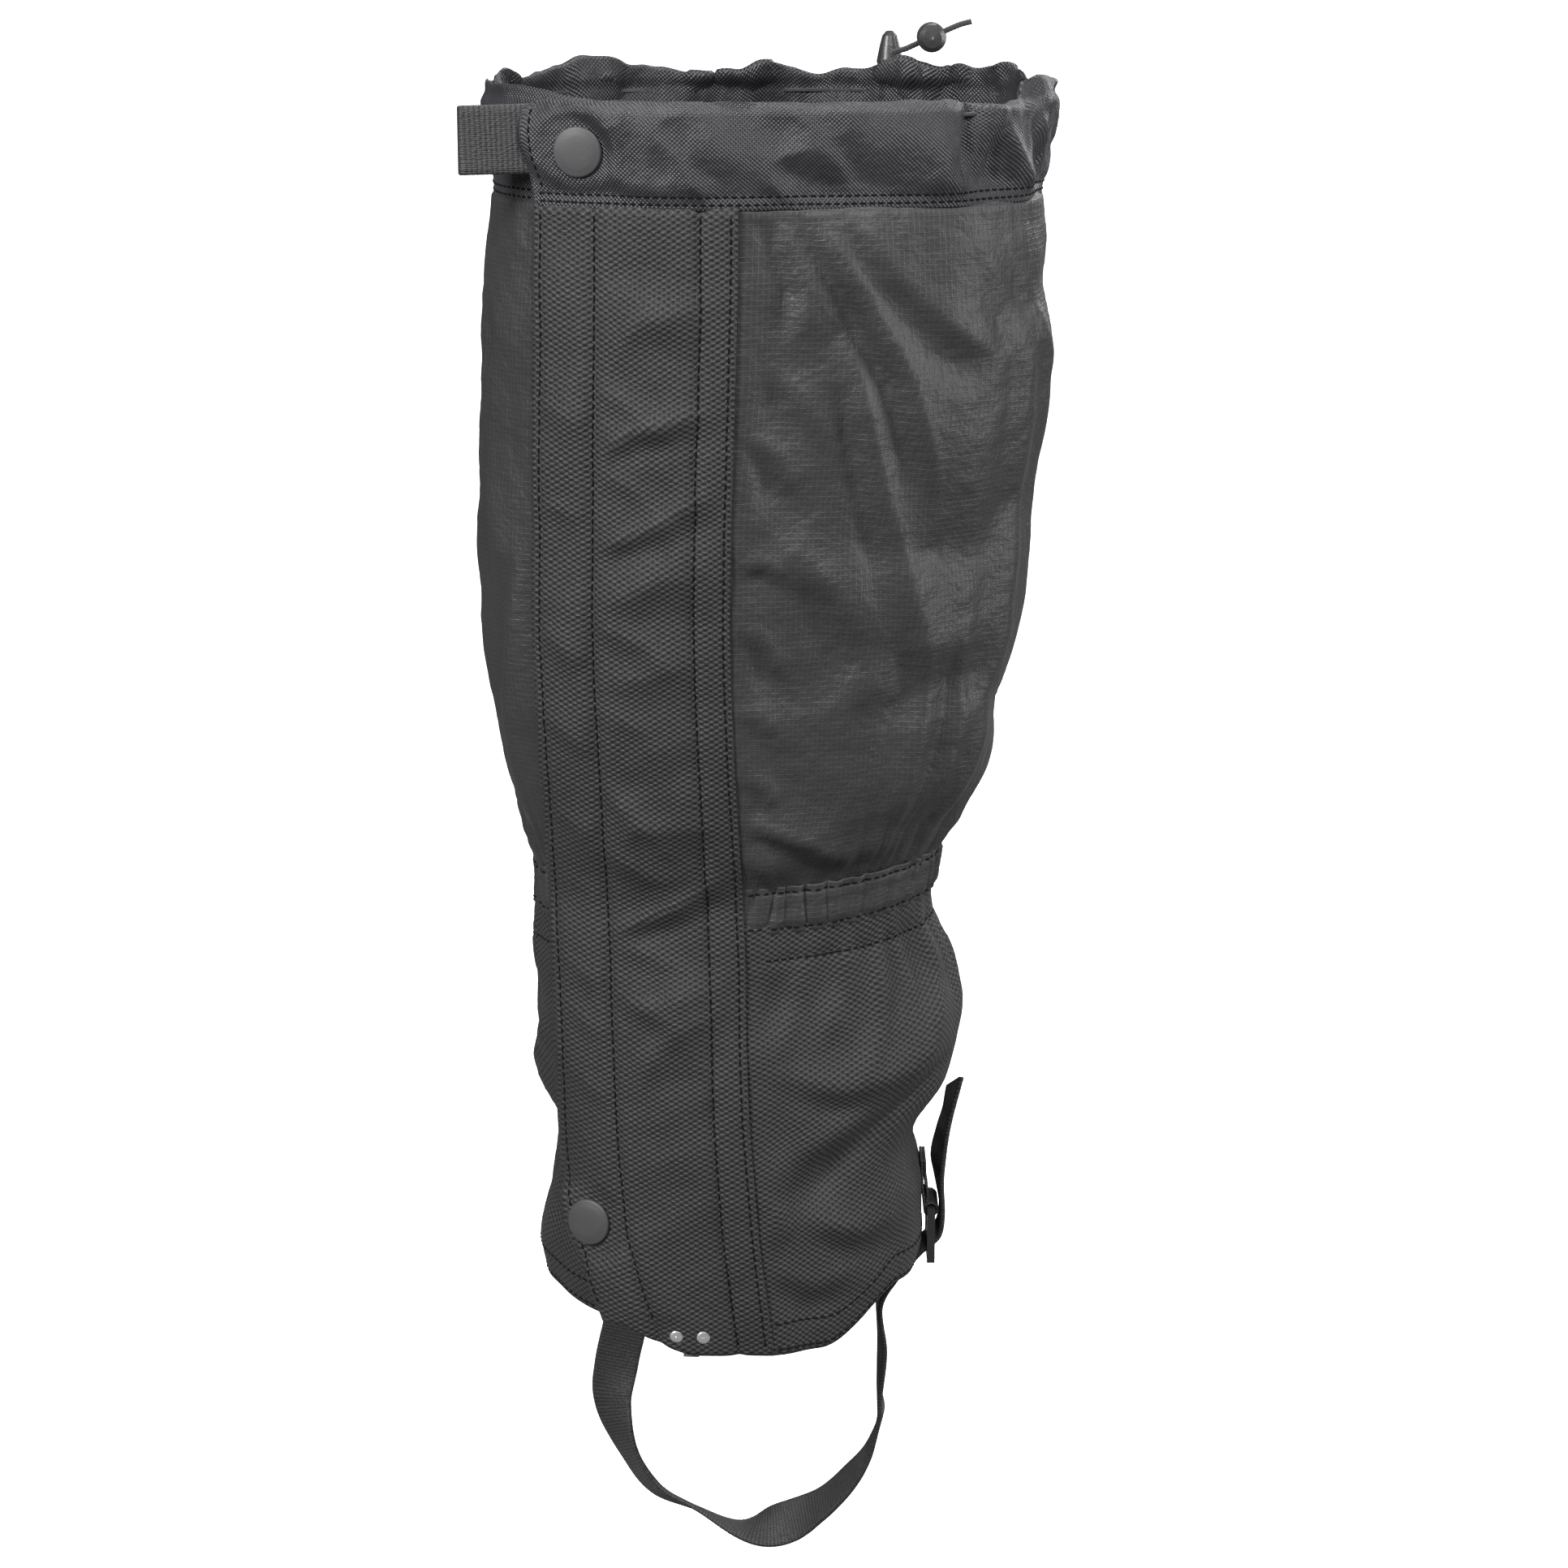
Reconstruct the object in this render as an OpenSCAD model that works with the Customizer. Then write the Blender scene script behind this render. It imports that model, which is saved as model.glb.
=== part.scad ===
// Hiking gaiter: a wrapped calf tube with a front closure flap, an elastic ankle, a drawcord
// top band, a lace hook at the front hem and a stirrup strap that passes under the boot.
// Frame: +Z up the leg, +X across the tube to the buckle side, -Y out of the closure flap.
// The origin is the centre of the boot opening, level with the front hem.

/* [Tube] */
// Height of the fabric tube from front hem to top rim
tube_height = 395; // [380:1:420]
// Height of the elastic ankle above the front hem
ankle_height = 145; // [140:1:150]
// Width across the hem
hem_width = 122; // [118:1:124]
// Depth of the hem
hem_depth = 100; // [96:1:106]
// Width across the elastic ankle
ankle_width = 125; // [121:1:129]
// Depth of the elastic ankle
ankle_depth = 86; // [84:1:92]
// Width across the bloused fabric above the ankle
blouse_width = 156; // [152:1:160]
// Depth of the bloused fabric above the ankle
blouse_depth = 106; // [102:1:112]
// Width across the calf and the top rim
calf_width = 172; // [168:1:176]
// Depth of the calf and the top rim
calf_depth = 115; // [112:1:120]
// How far the back and sides of the hem are cut up above the front
hem_rise = 16; // [12:1:20]

/* [Fabric] */
// Thickness of the panel fabric with its backing
cloth = 1.2; // [1:0.1:1.4]
// Air gap between neighbouring layers
gap = 0.3; // [0.25:0.05:0.4]
// Height of the top band
band_height = 31; // [28:1:34]
// Height of the ankle elastic casing
casing_height = 13; // [11:1:15]
// Thickness of the drawcord
cord_d = 1.8; // [1.6:0.1:2]

/* [Closure] */
// Furthest opening distance of the flap edge from the front centre line
flap_reach = 61; // [58:1:64]
// Width of the hook and loop strips
hook_width = 25; // [20:1:28]
// Distance of the snap centres from the front centre line
snap_offset = 48.5; // [47:0.5:50]
// Diameter of the snap caps
snap_cap_d = 15; // [12.5:0.5:15]
// Width of the pull tab webbing
tab_width = 20; // [16:1:22]

/* [Stirrup] */
// Width of the stirrup webbing
strap_width = 15; // [14:0.5:15]
// Thickness of the stirrup webbing
strap_thick = 1.6; // [1.4:0.1:1.8]
// Drop of the stirrup loop below the front hem
strap_drop = 92; // [88:1:96]

/* [Hidden] */

// Superellipse exponent of the tube's section, as the power of sine and cosine
section_power = 0.8;
back_angle = -90;
blouse_top = 205;
calf_height = 320;
band_low = tube_height - band_height;
casing_low = ankle_height - casing_height / 2;
casing_high = ankle_height + casing_height / 2;

// Layers outwards from the panel surface, each [inner, outer]
panel_layer = [-cloth, 0];
loop_layer = [gap, gap + 1];
hook_layer = [loop_layer[1] + gap, loop_layer[1] + gap + 0.85];
flap_layer = [hook_layer[1] + gap + 0.15, hook_layer[1] + gap + 0.15 + cloth];
casing_layer = [gap, gap + cloth];
cord_depth = -cloth - gap - cord_d / 2;
lining_layer = [cord_depth - cord_d / 2 - gap - 1, cord_depth - cord_d / 2 - gap];
tape_layer = [-2 * cloth - gap, -cloth - gap];

// The flap swings about this upright line, just outside its sewn edge
hinge_x = -1;
hinge_y = -(calf_depth / 2 + flap_layer[1]);

// Heights and centres of the two snaps
top_snap_z = tube_height - 15;
low_snap_z = 40;
snap_heights = [top_snap_z, low_snap_z];

// Stirrup: the sewn end, the buckle's pivot bar and the loop between them
anchor_angle = -132;
buckle_pivot = [58.5, 3, 30];
buckle_height = 19;
bar_r = 1.3;
run_gap = 0.1;

// Cord hardware above the rear rim
lock_centre = [57, 50, tube_height + 12];
lock_tilt = 66;
lock_r = 4.6;
lock_length = 9;
plunger_r = 3.1;
plunger_travel = 2;
bell_pivot = [44, calf_depth / 2 + 3, tube_height - 2];

black = "#3a3a3d";
dark = "#2b2b2d";
blue_black = "#44444c";
steel = "#c8c8c6";

function lerp(a, b, k) = a + (b - a) * k;
function clamp01(k) = min(1, max(0, k));
function ease(k) = let (c = clamp01(k)) c * c * (3 - 2 * c);

// Section of the tube at a height
function half_w(z) = lookup(z, [
    [0, hem_width / 2], [ankle_height, ankle_width / 2], [blouse_top, blouse_width / 2],
    [calf_height, calf_width / 2], [tube_height, calf_width / 2]
]);
function half_d(z) = lookup(z, [
    [0, hem_depth / 2], [ankle_height, ankle_depth / 2], [blouse_top, blouse_depth / 2],
    [calf_height, calf_depth / 2], [tube_height, calf_depth / 2]
]);
function shift(z) = lookup(z, [
    [0, -6.5], [ankle_height, -7], [blouse_top, -2.5], [calf_height, 4], [tube_height, 4]
]);
function signed_pow(v, p) = sign(v) * pow(abs(v), p);

// Point on the tube: t is 0 at +X, 90 at the front, 180 at -X; o is the distance outwards
function skin(t, z, o) = [
    shift(z) + (half_w(z) + o) * signed_pow(cos(t), section_power),
    -(half_d(z) + o) * signed_pow(sin(t), section_power),
    z
];

// Angle on the front face at which the tube's surface has this x
function front_t(x, z) = acos(signed_pow((x - shift(z)) / half_w(z), 1 / section_power));

// Lean of the surface's outward normal, from -Y towards -X
function lean(t, z) = let (d = skin(t + 1, z, 0) - skin(t - 1, z, 0)) atan2(d[1], -d[0]);

// Flap edges and sewn seam, as x on the front face
function flap_left(z) = -flap_reach + lookup(z, [[0, 17], [40, 6], [80, 3], [150, 1], [235, -2], [362, 0]]);
function seam_x(z) = lookup(z, [[0, 6], [40, 1], [80, -2], [150, -3], [235, -6], [362, -3]]);

// Lower edge of the tube: lowest at the front, cut up round the sides and back.
// The flap's corner follows the same cut.
corner_rise = 0.55 * hem_rise;
function hem_z(t) =
    t > 30 ? hem_rise * (1 - ease((t - 30) / 35)) :
    t < -160 ? corner_rise * (1 - ease((-243 - t) / 17)) + (hem_rise - corner_rise) * (1 - ease((-160 - t) / 83)) :
    hem_rise;
function flap_low(t) = corner_rise * ease((t - 100) / 17);

// Heights that every sheet's rows share, so that neighbouring layers stay parallel
function between(a, b, n) = [for (k = [1:n]) lerp(a, b, k / n)];
levels = concat(
    between(0, ankle_height, 9), between(ankle_height, blouse_top, 4),
    between(blouse_top, calf_height, 6), between(calf_height, tube_height, 4)
);

// A curved sheet between two edge functions of height and two height functions of angle
module sheet(edge_a, edge_b, low, high, layer, steps) {
    z_mid_low = low(back_angle);
    z_mid_high = high(back_angle);
    heights = concat(
        [z_mid_low], [for (z = levels) if (z > z_mid_low + 2 && z < z_mid_high - 2) z], [z_mid_high]
    );
    rows = len(heights) - 1;
    function grid_point(i, j, o) =
        let (
            z_edge = heights[j],
            k = (z_edge - z_mid_low) / (z_mid_high - z_mid_low),
            t = lerp(edge_a(z_edge), edge_b(z_edge), i / steps)
        ) skin(t, lerp(low(t), high(t), k), o);
    function at(i, j, side) = side * (steps + 1) * (rows + 1) + j * (steps + 1) + i;
    points = [for (side = [0, 1]) for (j = [0:rows]) for (i = [0:steps]) grid_point(i, j, layer[1 - side])];
    function quad(a, b, c, d) = [[a, b, c], [a, c, d]];
    faces = [
        for (j = [0:rows - 1]) for (i = [0:steps - 1])
            each quad(at(i, j, 0), at(i + 1, j, 0), at(i + 1, j + 1, 0), at(i, j + 1, 0)),
        for (j = [0:rows - 1]) for (i = [0:steps - 1])
            each quad(at(i, j, 1), at(i, j + 1, 1), at(i + 1, j + 1, 1), at(i + 1, j, 1)),
        for (i = [0:steps - 1])
            each quad(at(i + 1, 0, 0), at(i, 0, 0), at(i, 0, 1), at(i + 1, 0, 1)),
        for (i = [0:steps - 1])
            each quad(at(i, rows, 0), at(i + 1, rows, 0), at(i + 1, rows, 1), at(i, rows, 1)),
        for (j = [0:rows - 1])
            each quad(at(steps, j + 1, 0), at(steps, j, 0), at(steps, j, 1), at(steps, j + 1, 1)),
        for (j = [0:rows - 1])
            each quad(at(0, j, 0), at(0, j + 1, 0), at(0, j + 1, 1), at(0, j, 1))
    ];
    polyhedron(points, faces);
}

// Flat webbing along a path; stations are [point, direction across the width]
module webbing(stations, width, thick) {
    last = len(stations) - 1;
    function unit(v) = v / norm(v);
    function ring(n) =
        let (
            p = stations[n][0],
            along = unit(stations[min(n + 1, last)][0] - stations[max(n - 1, 0)][0]),
            up = unit(cross(along, stations[n][1])),
            across = cross(up, along) * width / 2,
            out = up * thick / 2
        ) [p + across + out, p - across + out, p - across - out, p + across - out];
    points = [for (n = [0:last]) each ring(n)];
    faces = [
        [0, 1, 2], [0, 2, 3],
        for (n = [0:last - 1]) for (s = [0:3])
            let (a = n * 4 + s, b = n * 4 + (s + 1) % 4)
                each [[a, a + 4, b + 4], [a, b + 4, b]],
        [last * 4, last * 4 + 2, last * 4 + 1], [last * 4, last * 4 + 3, last * 4 + 2]
    ];
    polyhedron(points, faces);
}

// Smooth path through four control points
function bezier(p, k) =
    pow(1 - k, 3) * p[0] + 3 * pow(1 - k, 2) * k * p[1] + 3 * (1 - k) * k * k * p[2] + pow(k, 3) * p[3];

// Places children o outside the tube with their Z axis along the outward normal
module on_skin(x, z, o) {
    t = front_t(x, z);
    translate(skin(t, z, 0)) rotate([90, 0, -lean(t, z)]) translate([0, 0, o]) children();
}

// A hole through the fabric at each of these snap heights
module snap_holes(heights, r) {
    for (z = heights)
        on_skin(-snap_offset, z, -9) cylinder(r = r, h = 18, $fn = 24);
}

// ---- Panels ----
module tube_panel(edge_a, edge_b, low, high) {
    sheet(edge_a, edge_b, low, high, panel_layer, 36);
}

module upper_right_panel() {
    color(black)
    tube_panel(function (z) back_angle + 0.1, function (z) front_t(seam_x(z) + 1, z),
        function (t) casing_high - 1, function (t) band_low - gap);
}

module upper_left_panel() {
    color(black)
    tube_panel(function (z) front_t(flap_left(z) + 2, z) - 360, function (z) back_angle - 0.1,
        function (t) casing_high - 1, function (t) band_low - gap);
}

module lower_right_panel() {
    color(dark)
    tube_panel(function (z) back_angle + 0.1, function (z) front_t(seam_x(z) + 2, z),
        function (t) hem_z(t), function (t) casing_low + 1);
}

module lower_left_panel() {
    color(dark)
    tube_panel(function (z) front_t(flap_left(z) + 2, z) - 360, function (z) back_angle - 0.1,
        function (t) hem_z(t), function (t) casing_low + 1);
}

// ---- Top band and its drawcord ----
module band_ring(layer, low, high) {
    sheet(function (z) front_t(-13, z) - 360, function (z) front_t(seam_x(z) + 1, z),
        function (t) low, function (t) high, layer, 72);
}

module top_band() {
    color(blue_black)
    difference() {
        band_ring(panel_layer, band_low, tube_height);
        snap_holes([top_snap_z], 2.2);
        eyelet_places() cylinder(r = 2, h = 8, center = true, $fn = 24);
    }
}

module band_lining() {
    color(blue_black)
    difference() {
        band_ring(lining_layer, band_low, tube_height);
        snap_holes([top_snap_z], 6.2);
    }
}

module drawcord() {
    cord_z = tube_height - 5;
    steps = 50;
    sides = 8;
    function station(i) = lerp(front_t(-30, cord_z) - 360, front_t(seam_x(cord_z) + 3, cord_z), i / steps);
    points = [for (i = [0:steps]) for (s = [0:sides - 1])
        skin(station(i), cord_z + sin(s * 45) * cord_d / 2, cord_depth + cos(s * 45) * cord_d / 2)];
    faces = [
        [for (s = [0:sides - 1]) s],
        for (i = [0:steps - 1]) for (s = [0:sides - 1])
            let (a = i * sides + s, b = i * sides + (s + 1) % sides)
                each [[a, a + sides, b + sides], [a, b + sides, b]],
        [for (s = [sides - 1:-1:0]) steps * sides + s]
    ];
    color(dark) polyhedron(points, faces);
}

// The two holes in the rear of the band where the cord comes out
module eyelet_places() {
    for (t = [-49, -58])
        translate(skin(t, tube_height - 10, -cloth / 2)) rotate([-90, 0, -lean(t, tube_height) - 180])
            children();
}

module cord_eyelets() {
    color(steel)
    eyelet_places()
        rotate_extrude($fn = 32)
            translate([1.1, 0]) polygon([
                [0, -cloth / 2 - 0.25], [0, cloth / 2 + 0.25], [1.9, cloth / 2 + 0.25],
                [2.1, cloth / 2 + 0.05], [0.8, cloth / 2 + 0.05], [0.8, -cloth / 2 - 0.25]
            ]);
}

// Free drawcord end that the cord lock slides along
module cord_tail() {
    color(dark)
    translate(lock_centre) rotate([0, lock_tilt, 0]) translate([0, 0, -9])
        cylinder(d = cord_d, h = 25, $fn = 24);
}

// ---- Underlap and snaps on the tube side ----
module underlap_placket() {
    color(black)
    difference() {
        sheet(function (z) front_t(-13, z), function (z) front_t(flap_left(z) + 2.7, z),
            function (t) 24, function (t) band_low - gap, panel_layer, 14);
        snap_holes([low_snap_z], 2.2);
    }
}

module strip(layer) {
    strip_right = -42 + hook_width;
    sheet(function (z) front_t(strip_right, z), function (z) front_t(-42, z),
        function (t) 30, function (t) band_low - 3, layer, 8);
}

module loop_strip() {
    color(dark) strip(loop_layer);
}

module snap_studs() {
    color(steel)
    for (z = snap_heights)
        on_skin(-snap_offset, z, 0.35)
            rotate_extrude($fn = 48) polygon([
                [0.7, -1], [1.6, -1], [1.6, 0], [5, 0], [5, 0.5], [2.1, 0.5], [2.1, 0.9],
                [2.5, 1.2], [2.3, 1.6], [0.7, 1.6]
            ]);
}

module snap_posts() {
    color(steel)
    for (z = snap_heights)
        on_skin(-snap_offset, z, -cloth - 1)
            rotate_extrude($fn = 48) polygon([
                [0, 0], [5, 0], [5, 0.4], [0.6, 0.4], [0.6, 2], [0, 2]
            ]);
}

// ---- Ankle ----
module ankle_casing() {
    color(black)
    sheet(function (z) front_t(flap_left(z) - 2, z) - 360, function (z) front_t(seam_x(z) + 3, z),
        function (t) casing_low - 1, function (t) casing_high + 1, casing_layer, 72);
}

module ankle_elastic() {
    color(dark)
    sheet(function (z) front_t(flap_left(z) + 2, z) - 360, function (z) front_t(seam_x(z) + 3, z),
        function (t) casing_low + 1.5, function (t) casing_high - 1.5, panel_layer, 72);
}

// ---- Hem ----
module hem_tape() {
    color(dark)
    sheet(function (z) front_t(flap_left(z) + 3, z) - 360, function (z) front_t(seam_x(z) + 3, z),
        function (t) hem_z(t) + 0.5, function (t) hem_z(t) + 10, tape_layer - [0.2, 0.2], 72);
}

module strap_anchor() {
    color(dark)
    sheet(function (z) anchor_angle - 8.5, function (z) anchor_angle + 8.5,
        function (t) hem_rise, function (t) hem_rise + 22, tape_layer - [1.9, 1.9], 6);
}

// ---- Closure flap ----
module closure_flap() {
    color(black)
    difference() {
        sheet(function (z) front_t(seam_x(z) - 1, z), function (z) front_t(flap_left(z), z),
            function (t) flap_low(t), function (t) band_low - gap, flap_layer, 16);
        snap_holes([low_snap_z], 2.4);
        lace_hook_places() cylinder(r = 1.2, h = 12, center = true, $fn = 24);
    }
}

module band_front_end() {
    color(blue_black)
    difference() {
        sheet(function (z) front_t(seam_x(z) - 1, z), function (z) front_t(-flap_reach, z),
            function (t) band_low, function (t) tube_height, flap_layer, 16);
        snap_holes([top_snap_z], 2.4);
    }
}

module hook_strip() {
    color(dark) strip(hook_layer);
}

module snap_caps() {
    color("#55555a")
    for (z = snap_heights)
        on_skin(-snap_offset, z, flap_layer[1] + 0.4)
            rotate_extrude($fn = 64) polygon([
                [0, -1.2], [1.2, -1.2], [1.2, 0.2], [snap_cap_d / 2 - 0.5, 0.2], [snap_cap_d / 2, 0.7],
                [snap_cap_d / 2 - 0.4, 1.4], [snap_cap_d / 2 - 1.8, 2], [snap_cap_d / 4, 2.5], [0, 2.7]
            ]);
}

module snap_sockets() {
    color(steel)
    for (z = snap_heights)
        on_skin(-snap_offset, z, flap_layer[0] - 0.35)
            rotate_extrude($fn = 48) polygon([
                [1.5, 0.9], [2.2, 0.9], [2.2, 0], [5.4, 0], [5.4, -1.3], [3.5, -1.3],
                [3.5, -0.3], [1.5, -0.3]
            ]);
}

// ---- Lace hook ----
module lace_hook_places() {
    for (x = [-23.5, -15.5])
        on_skin(x, 6, flap_layer[0]) children();
}

module lace_hook() {
    color(steel)
    on_skin(-19.5, 6, flap_layer[0] - 1) {
        difference() {
            translate([-7, -5, -0.4]) cube([14, 9, 0.8]);
            for (x = [-4, 4]) translate([x, 0, 0]) cylinder(r = 1.6, h = 3, center = true, $fn = 24);
        }
        translate([-2.5, -8, -0.4]) cube([5, 3, 0.8]);
        translate([-2.5, -8, -3.6]) cube([5, 0.8, 4]);
        translate([-2.5, -8, -4.4]) cube([5, 6, 0.8]);
    }
}

module lace_hook_rivets() {
    color(steel)
    lace_hook_places()
        rotate_extrude($fn = 48) polygon([
            [0, -2], [2, -2], [2, -1.6], [1, -1.6], [1, cloth + 0.4], [3, cloth + 0.4],
            [3, cloth + 0.7], [1.5, cloth + 1.3], [0, cloth + 1.4]
        ]);
}

// ---- Pull tab ----
module pull_tab() {
    tab_t = front_t(-flap_reach - 0.8, tube_height - 12);
    root_point = skin(tab_t, tube_height - 12, flap_layer[0] + 0.6);
    color(dark)
    translate(root_point) rotate([0, 0, -8])
        translate([-21.5, -1, -tab_width / 2]) cube([20, 2, tab_width]);
}

// ---- Cord lock and bell ----
// Local Z is the plunger axis and points forwards; local X is the cord
module lock_frame() {
    translate(lock_centre) rotate([90, lock_tilt - 90, 0]) children();
}

module cord_lock_body() {
    color(dark)
    lock_frame()
        difference() {
            rotate_extrude($fn = 64) polygon([
                [0, -lock_length / 2], [lock_r - 1, -lock_length / 2], [lock_r, -lock_length / 2 + 1],
                [lock_r, lock_length / 2 - 1], [lock_r - 0.8, lock_length / 2], [0, lock_length / 2]
            ]);
            translate([0, 0, -lock_length / 2 + 0.8]) cylinder(r = plunger_r + 0.08, h = lock_length, $fn = 64);
            rotate([0, 90, 0]) cylinder(r = cord_d / 2 + 0.4, h = 20, center = true, $fn = 32);
        }
}

module cord_lock_plunger() {
    color(black)
    lock_frame()
        difference() {
            rotate_extrude($fn = 64) polygon([
                [0, -1.5], [plunger_r, -1.5], [plunger_r, lock_length / 2 + plunger_travel + 0.2],
                [lock_r - 0.4, lock_length / 2 + plunger_travel + 0.2],
                [lock_r - 0.4, lock_length / 2 + plunger_travel + 1.2],
                [lock_r - 1.6, lock_length / 2 + plunger_travel + 2.2],
                [0, lock_length / 2 + plunger_travel + 2.6]
            ]);
            translate([-5, -cord_d / 2 - 0.2, -cord_d / 2 - 0.2])
                cube([10, cord_d + 0.4, cord_d + 0.4 + plunger_travel]);
        }
}

module cord_lock_spring() {
    turns = 3;
    turn_steps = 16;
    sides = 6;
    steps = turns * turn_steps;
    wire_r = 0.2;
    coil_r = 2.3;
    low = -lock_length / 2 + 1.05;
    high = -1.75;
    points = [for (i = [0:steps]) for (s = [0:sides - 1])
        let (
            a = i * 360 / turn_steps,
            r = coil_r + wire_r * cos(s * 360 / sides)
        ) [r * cos(a), r * sin(a), lerp(low, high, i / steps) - wire_r * sin(s * 360 / sides)]];
    faces = [
        [for (s = [sides - 1:-1:0]) s],
        for (i = [0:steps - 1]) for (s = [0:sides - 1])
            let (a = i * sides + s, b = i * sides + (s + 1) % sides)
                each [[a, b + sides, a + sides], [a, b, b + sides]],
        [for (s = [0:sides - 1]) steps * sides + s]
    ];
    color(steel) lock_frame() polyhedron(points, faces);
}

module bell_cord() {
    color(dark)
    translate(bell_pivot) cylinder(d = cord_d, h = 8.5, $fn = 24);
}

module cord_bell() {
    color(dark)
    translate(bell_pivot + [0, 0, 5])
        difference() {
            rotate_extrude($fn = 48) polygon([
                [0, 0], [4, 0], [4.2, 1], [3.2, 6], [2.4, 9], [1.2, 10.4], [0, 10.6]
            ]);
            translate([0, 0, -1]) cylinder(r = cord_d / 2 + 0.05, h = 5, $fn = 24);
        }
}

// ---- Stirrup ----
module stirrup_strap() {
    top_end = skin(anchor_angle, hem_rise - 5, -cloth * 2 - gap - 1.2);
    left = [top_end, top_end + [-8, 3, -48], [-50, 30, -strap_drop + 14], [-5, 16, -strap_drop - 1]];
    base = [left[3], [10, 13, -strap_drop - 4], [24, 9, -strap_drop + 8], [39, 6, -strap_drop + 31]];
    right = [base[3], [46, 4, -48], [40, 4, -20], buckle_pivot + [-6.5, 0, -buckle_height + 1]];
    // Direction across the webbing, by how far round the loop it is
    function across(k) = [
        lookup(k, [[0, 0.77], [0.35, 1], [0.65, 0.5], [1, 0.05], [1.4, 0.3], [2, 0.05], [3, 0]]),
        lookup(k, [[0, 0.64], [0.35, 0], [0.65, -0.85], [1, -1], [1.4, -0.8], [2, -1], [3, -1]]),
        lookup(k, [[0, 0], [0.35, 0], [0.65, 0.2], [1, 0.2], [1.4, -0.5], [2, 0], [3, 0]])
    ];
    steps = 10;
    stations = [
        for (i = [0:steps - 1]) [bezier(left, i / steps), across(i / steps)],
        for (i = [0:steps - 1]) [bezier(base, i / steps), across(1 + i / steps)],
        for (i = [0:steps]) [bezier(right, i / steps), across(2 + i / steps)]
    ];
    color(dark) webbing(stations, strap_width, strap_thick);
}

module strap_tail() {
    path = [
        buckle_pivot + [4.4, 0, 6], buckle_pivot + [4.4, 0, 20],
        buckle_pivot + [6.4, 1, 30], buckle_pivot + [10.5, 2, 46]
    ];
    steps = 6;
    color(dark)
    webbing([for (i = [0:steps]) [bezier(path, i / steps), [0.1, 1, 0]]], strap_width, strap_thick);
}

// Short webbing loop that holds the buckle's top bar, sewn to the lower right panel
module buckle_tab() {
    loop_in = bar_r + run_gap;
    loop_out = loop_in + 1.1;
    color(dark)
    translate(buckle_pivot) {
        rotate([90, 0, 0])
            difference() {
                union() {
                    cylinder(r = loop_out, h = strap_width - 1, center = true, $fn = 48);
                    translate([-loop_out, 0, -(strap_width - 1) / 2]) cube([1.1, 9, strap_width - 1]);
                }
                cylinder(r = loop_in, h = strap_width + 2, center = true, $fn = 48);
            }
    }
}

module strap_buckle() {
    side = 2;
    inner = strap_width + 1;
    thick = 2.6;
    color(dark)
    translate(buckle_pivot) {
        rotate([90, 0, 0]) cylinder(r = bar_r, h = inner + 1, center = true, $fn = 48);
        for (s = [-1, 1])
            translate([-thick / 2, s * (inner / 2 + side / 2) - side / 2, -buckle_height + bar_r])
                cube([thick, side, buckle_height]);
        for (drop = [8.5, buckle_height - bar_r - 1.4])
            translate([0, 0, -drop]) rotate([90, 0, 0])
                cylinder(r = 1.4, h = inner + 1, center = true, $fn = 48);
    }
}

upper_left_panel();
upper_right_panel();
lower_left_panel();
lower_right_panel();
top_band();
band_lining();
drawcord();
cord_eyelets();
cord_tail();
underlap_placket();
loop_strip();
snap_studs();
snap_posts();
ankle_casing();
ankle_elastic();
hem_tape();
strap_anchor();
closure_flap();
band_front_end();
hook_strip();
snap_caps();
snap_sockets();
lace_hook();
lace_hook_rivets();
pull_tab();
cord_lock_body();
cord_lock_spring();
cord_lock_plunger();
bell_cord();
cord_bell();
stirrup_strap();
strap_tail();
buckle_tab();
strap_buckle();
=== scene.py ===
"""Looks for the hiking gaiter: fabric, webbing, hardware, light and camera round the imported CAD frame."""
import math

import bmesh
import bpy
import numpy as np
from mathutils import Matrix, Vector


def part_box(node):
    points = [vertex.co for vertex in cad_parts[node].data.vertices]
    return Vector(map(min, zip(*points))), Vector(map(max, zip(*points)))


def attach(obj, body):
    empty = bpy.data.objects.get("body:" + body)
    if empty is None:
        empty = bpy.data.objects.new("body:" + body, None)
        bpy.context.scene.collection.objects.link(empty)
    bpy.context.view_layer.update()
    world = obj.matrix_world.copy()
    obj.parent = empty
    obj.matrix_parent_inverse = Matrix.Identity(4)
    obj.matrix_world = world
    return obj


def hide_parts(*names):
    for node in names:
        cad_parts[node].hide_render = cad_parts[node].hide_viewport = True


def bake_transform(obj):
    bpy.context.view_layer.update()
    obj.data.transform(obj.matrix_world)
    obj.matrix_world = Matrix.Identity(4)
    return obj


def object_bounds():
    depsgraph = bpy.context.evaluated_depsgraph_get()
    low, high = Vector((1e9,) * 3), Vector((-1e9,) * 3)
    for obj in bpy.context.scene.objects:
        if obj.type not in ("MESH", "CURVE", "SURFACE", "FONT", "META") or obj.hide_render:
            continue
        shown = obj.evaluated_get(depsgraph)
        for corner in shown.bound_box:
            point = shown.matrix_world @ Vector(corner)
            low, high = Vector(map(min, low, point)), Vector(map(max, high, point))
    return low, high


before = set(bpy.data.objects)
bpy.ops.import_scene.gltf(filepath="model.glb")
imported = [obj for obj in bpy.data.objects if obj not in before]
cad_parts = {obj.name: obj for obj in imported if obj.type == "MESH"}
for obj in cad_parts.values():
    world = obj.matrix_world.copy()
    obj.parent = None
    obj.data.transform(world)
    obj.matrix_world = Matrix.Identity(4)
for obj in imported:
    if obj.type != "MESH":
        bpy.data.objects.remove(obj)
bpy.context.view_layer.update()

# ---- Frame of reference, in millimetres ----
MM = 0.001


def node_box(name):
    low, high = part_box(name)
    return np.array(low) / MM, np.array(high) / MM


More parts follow.
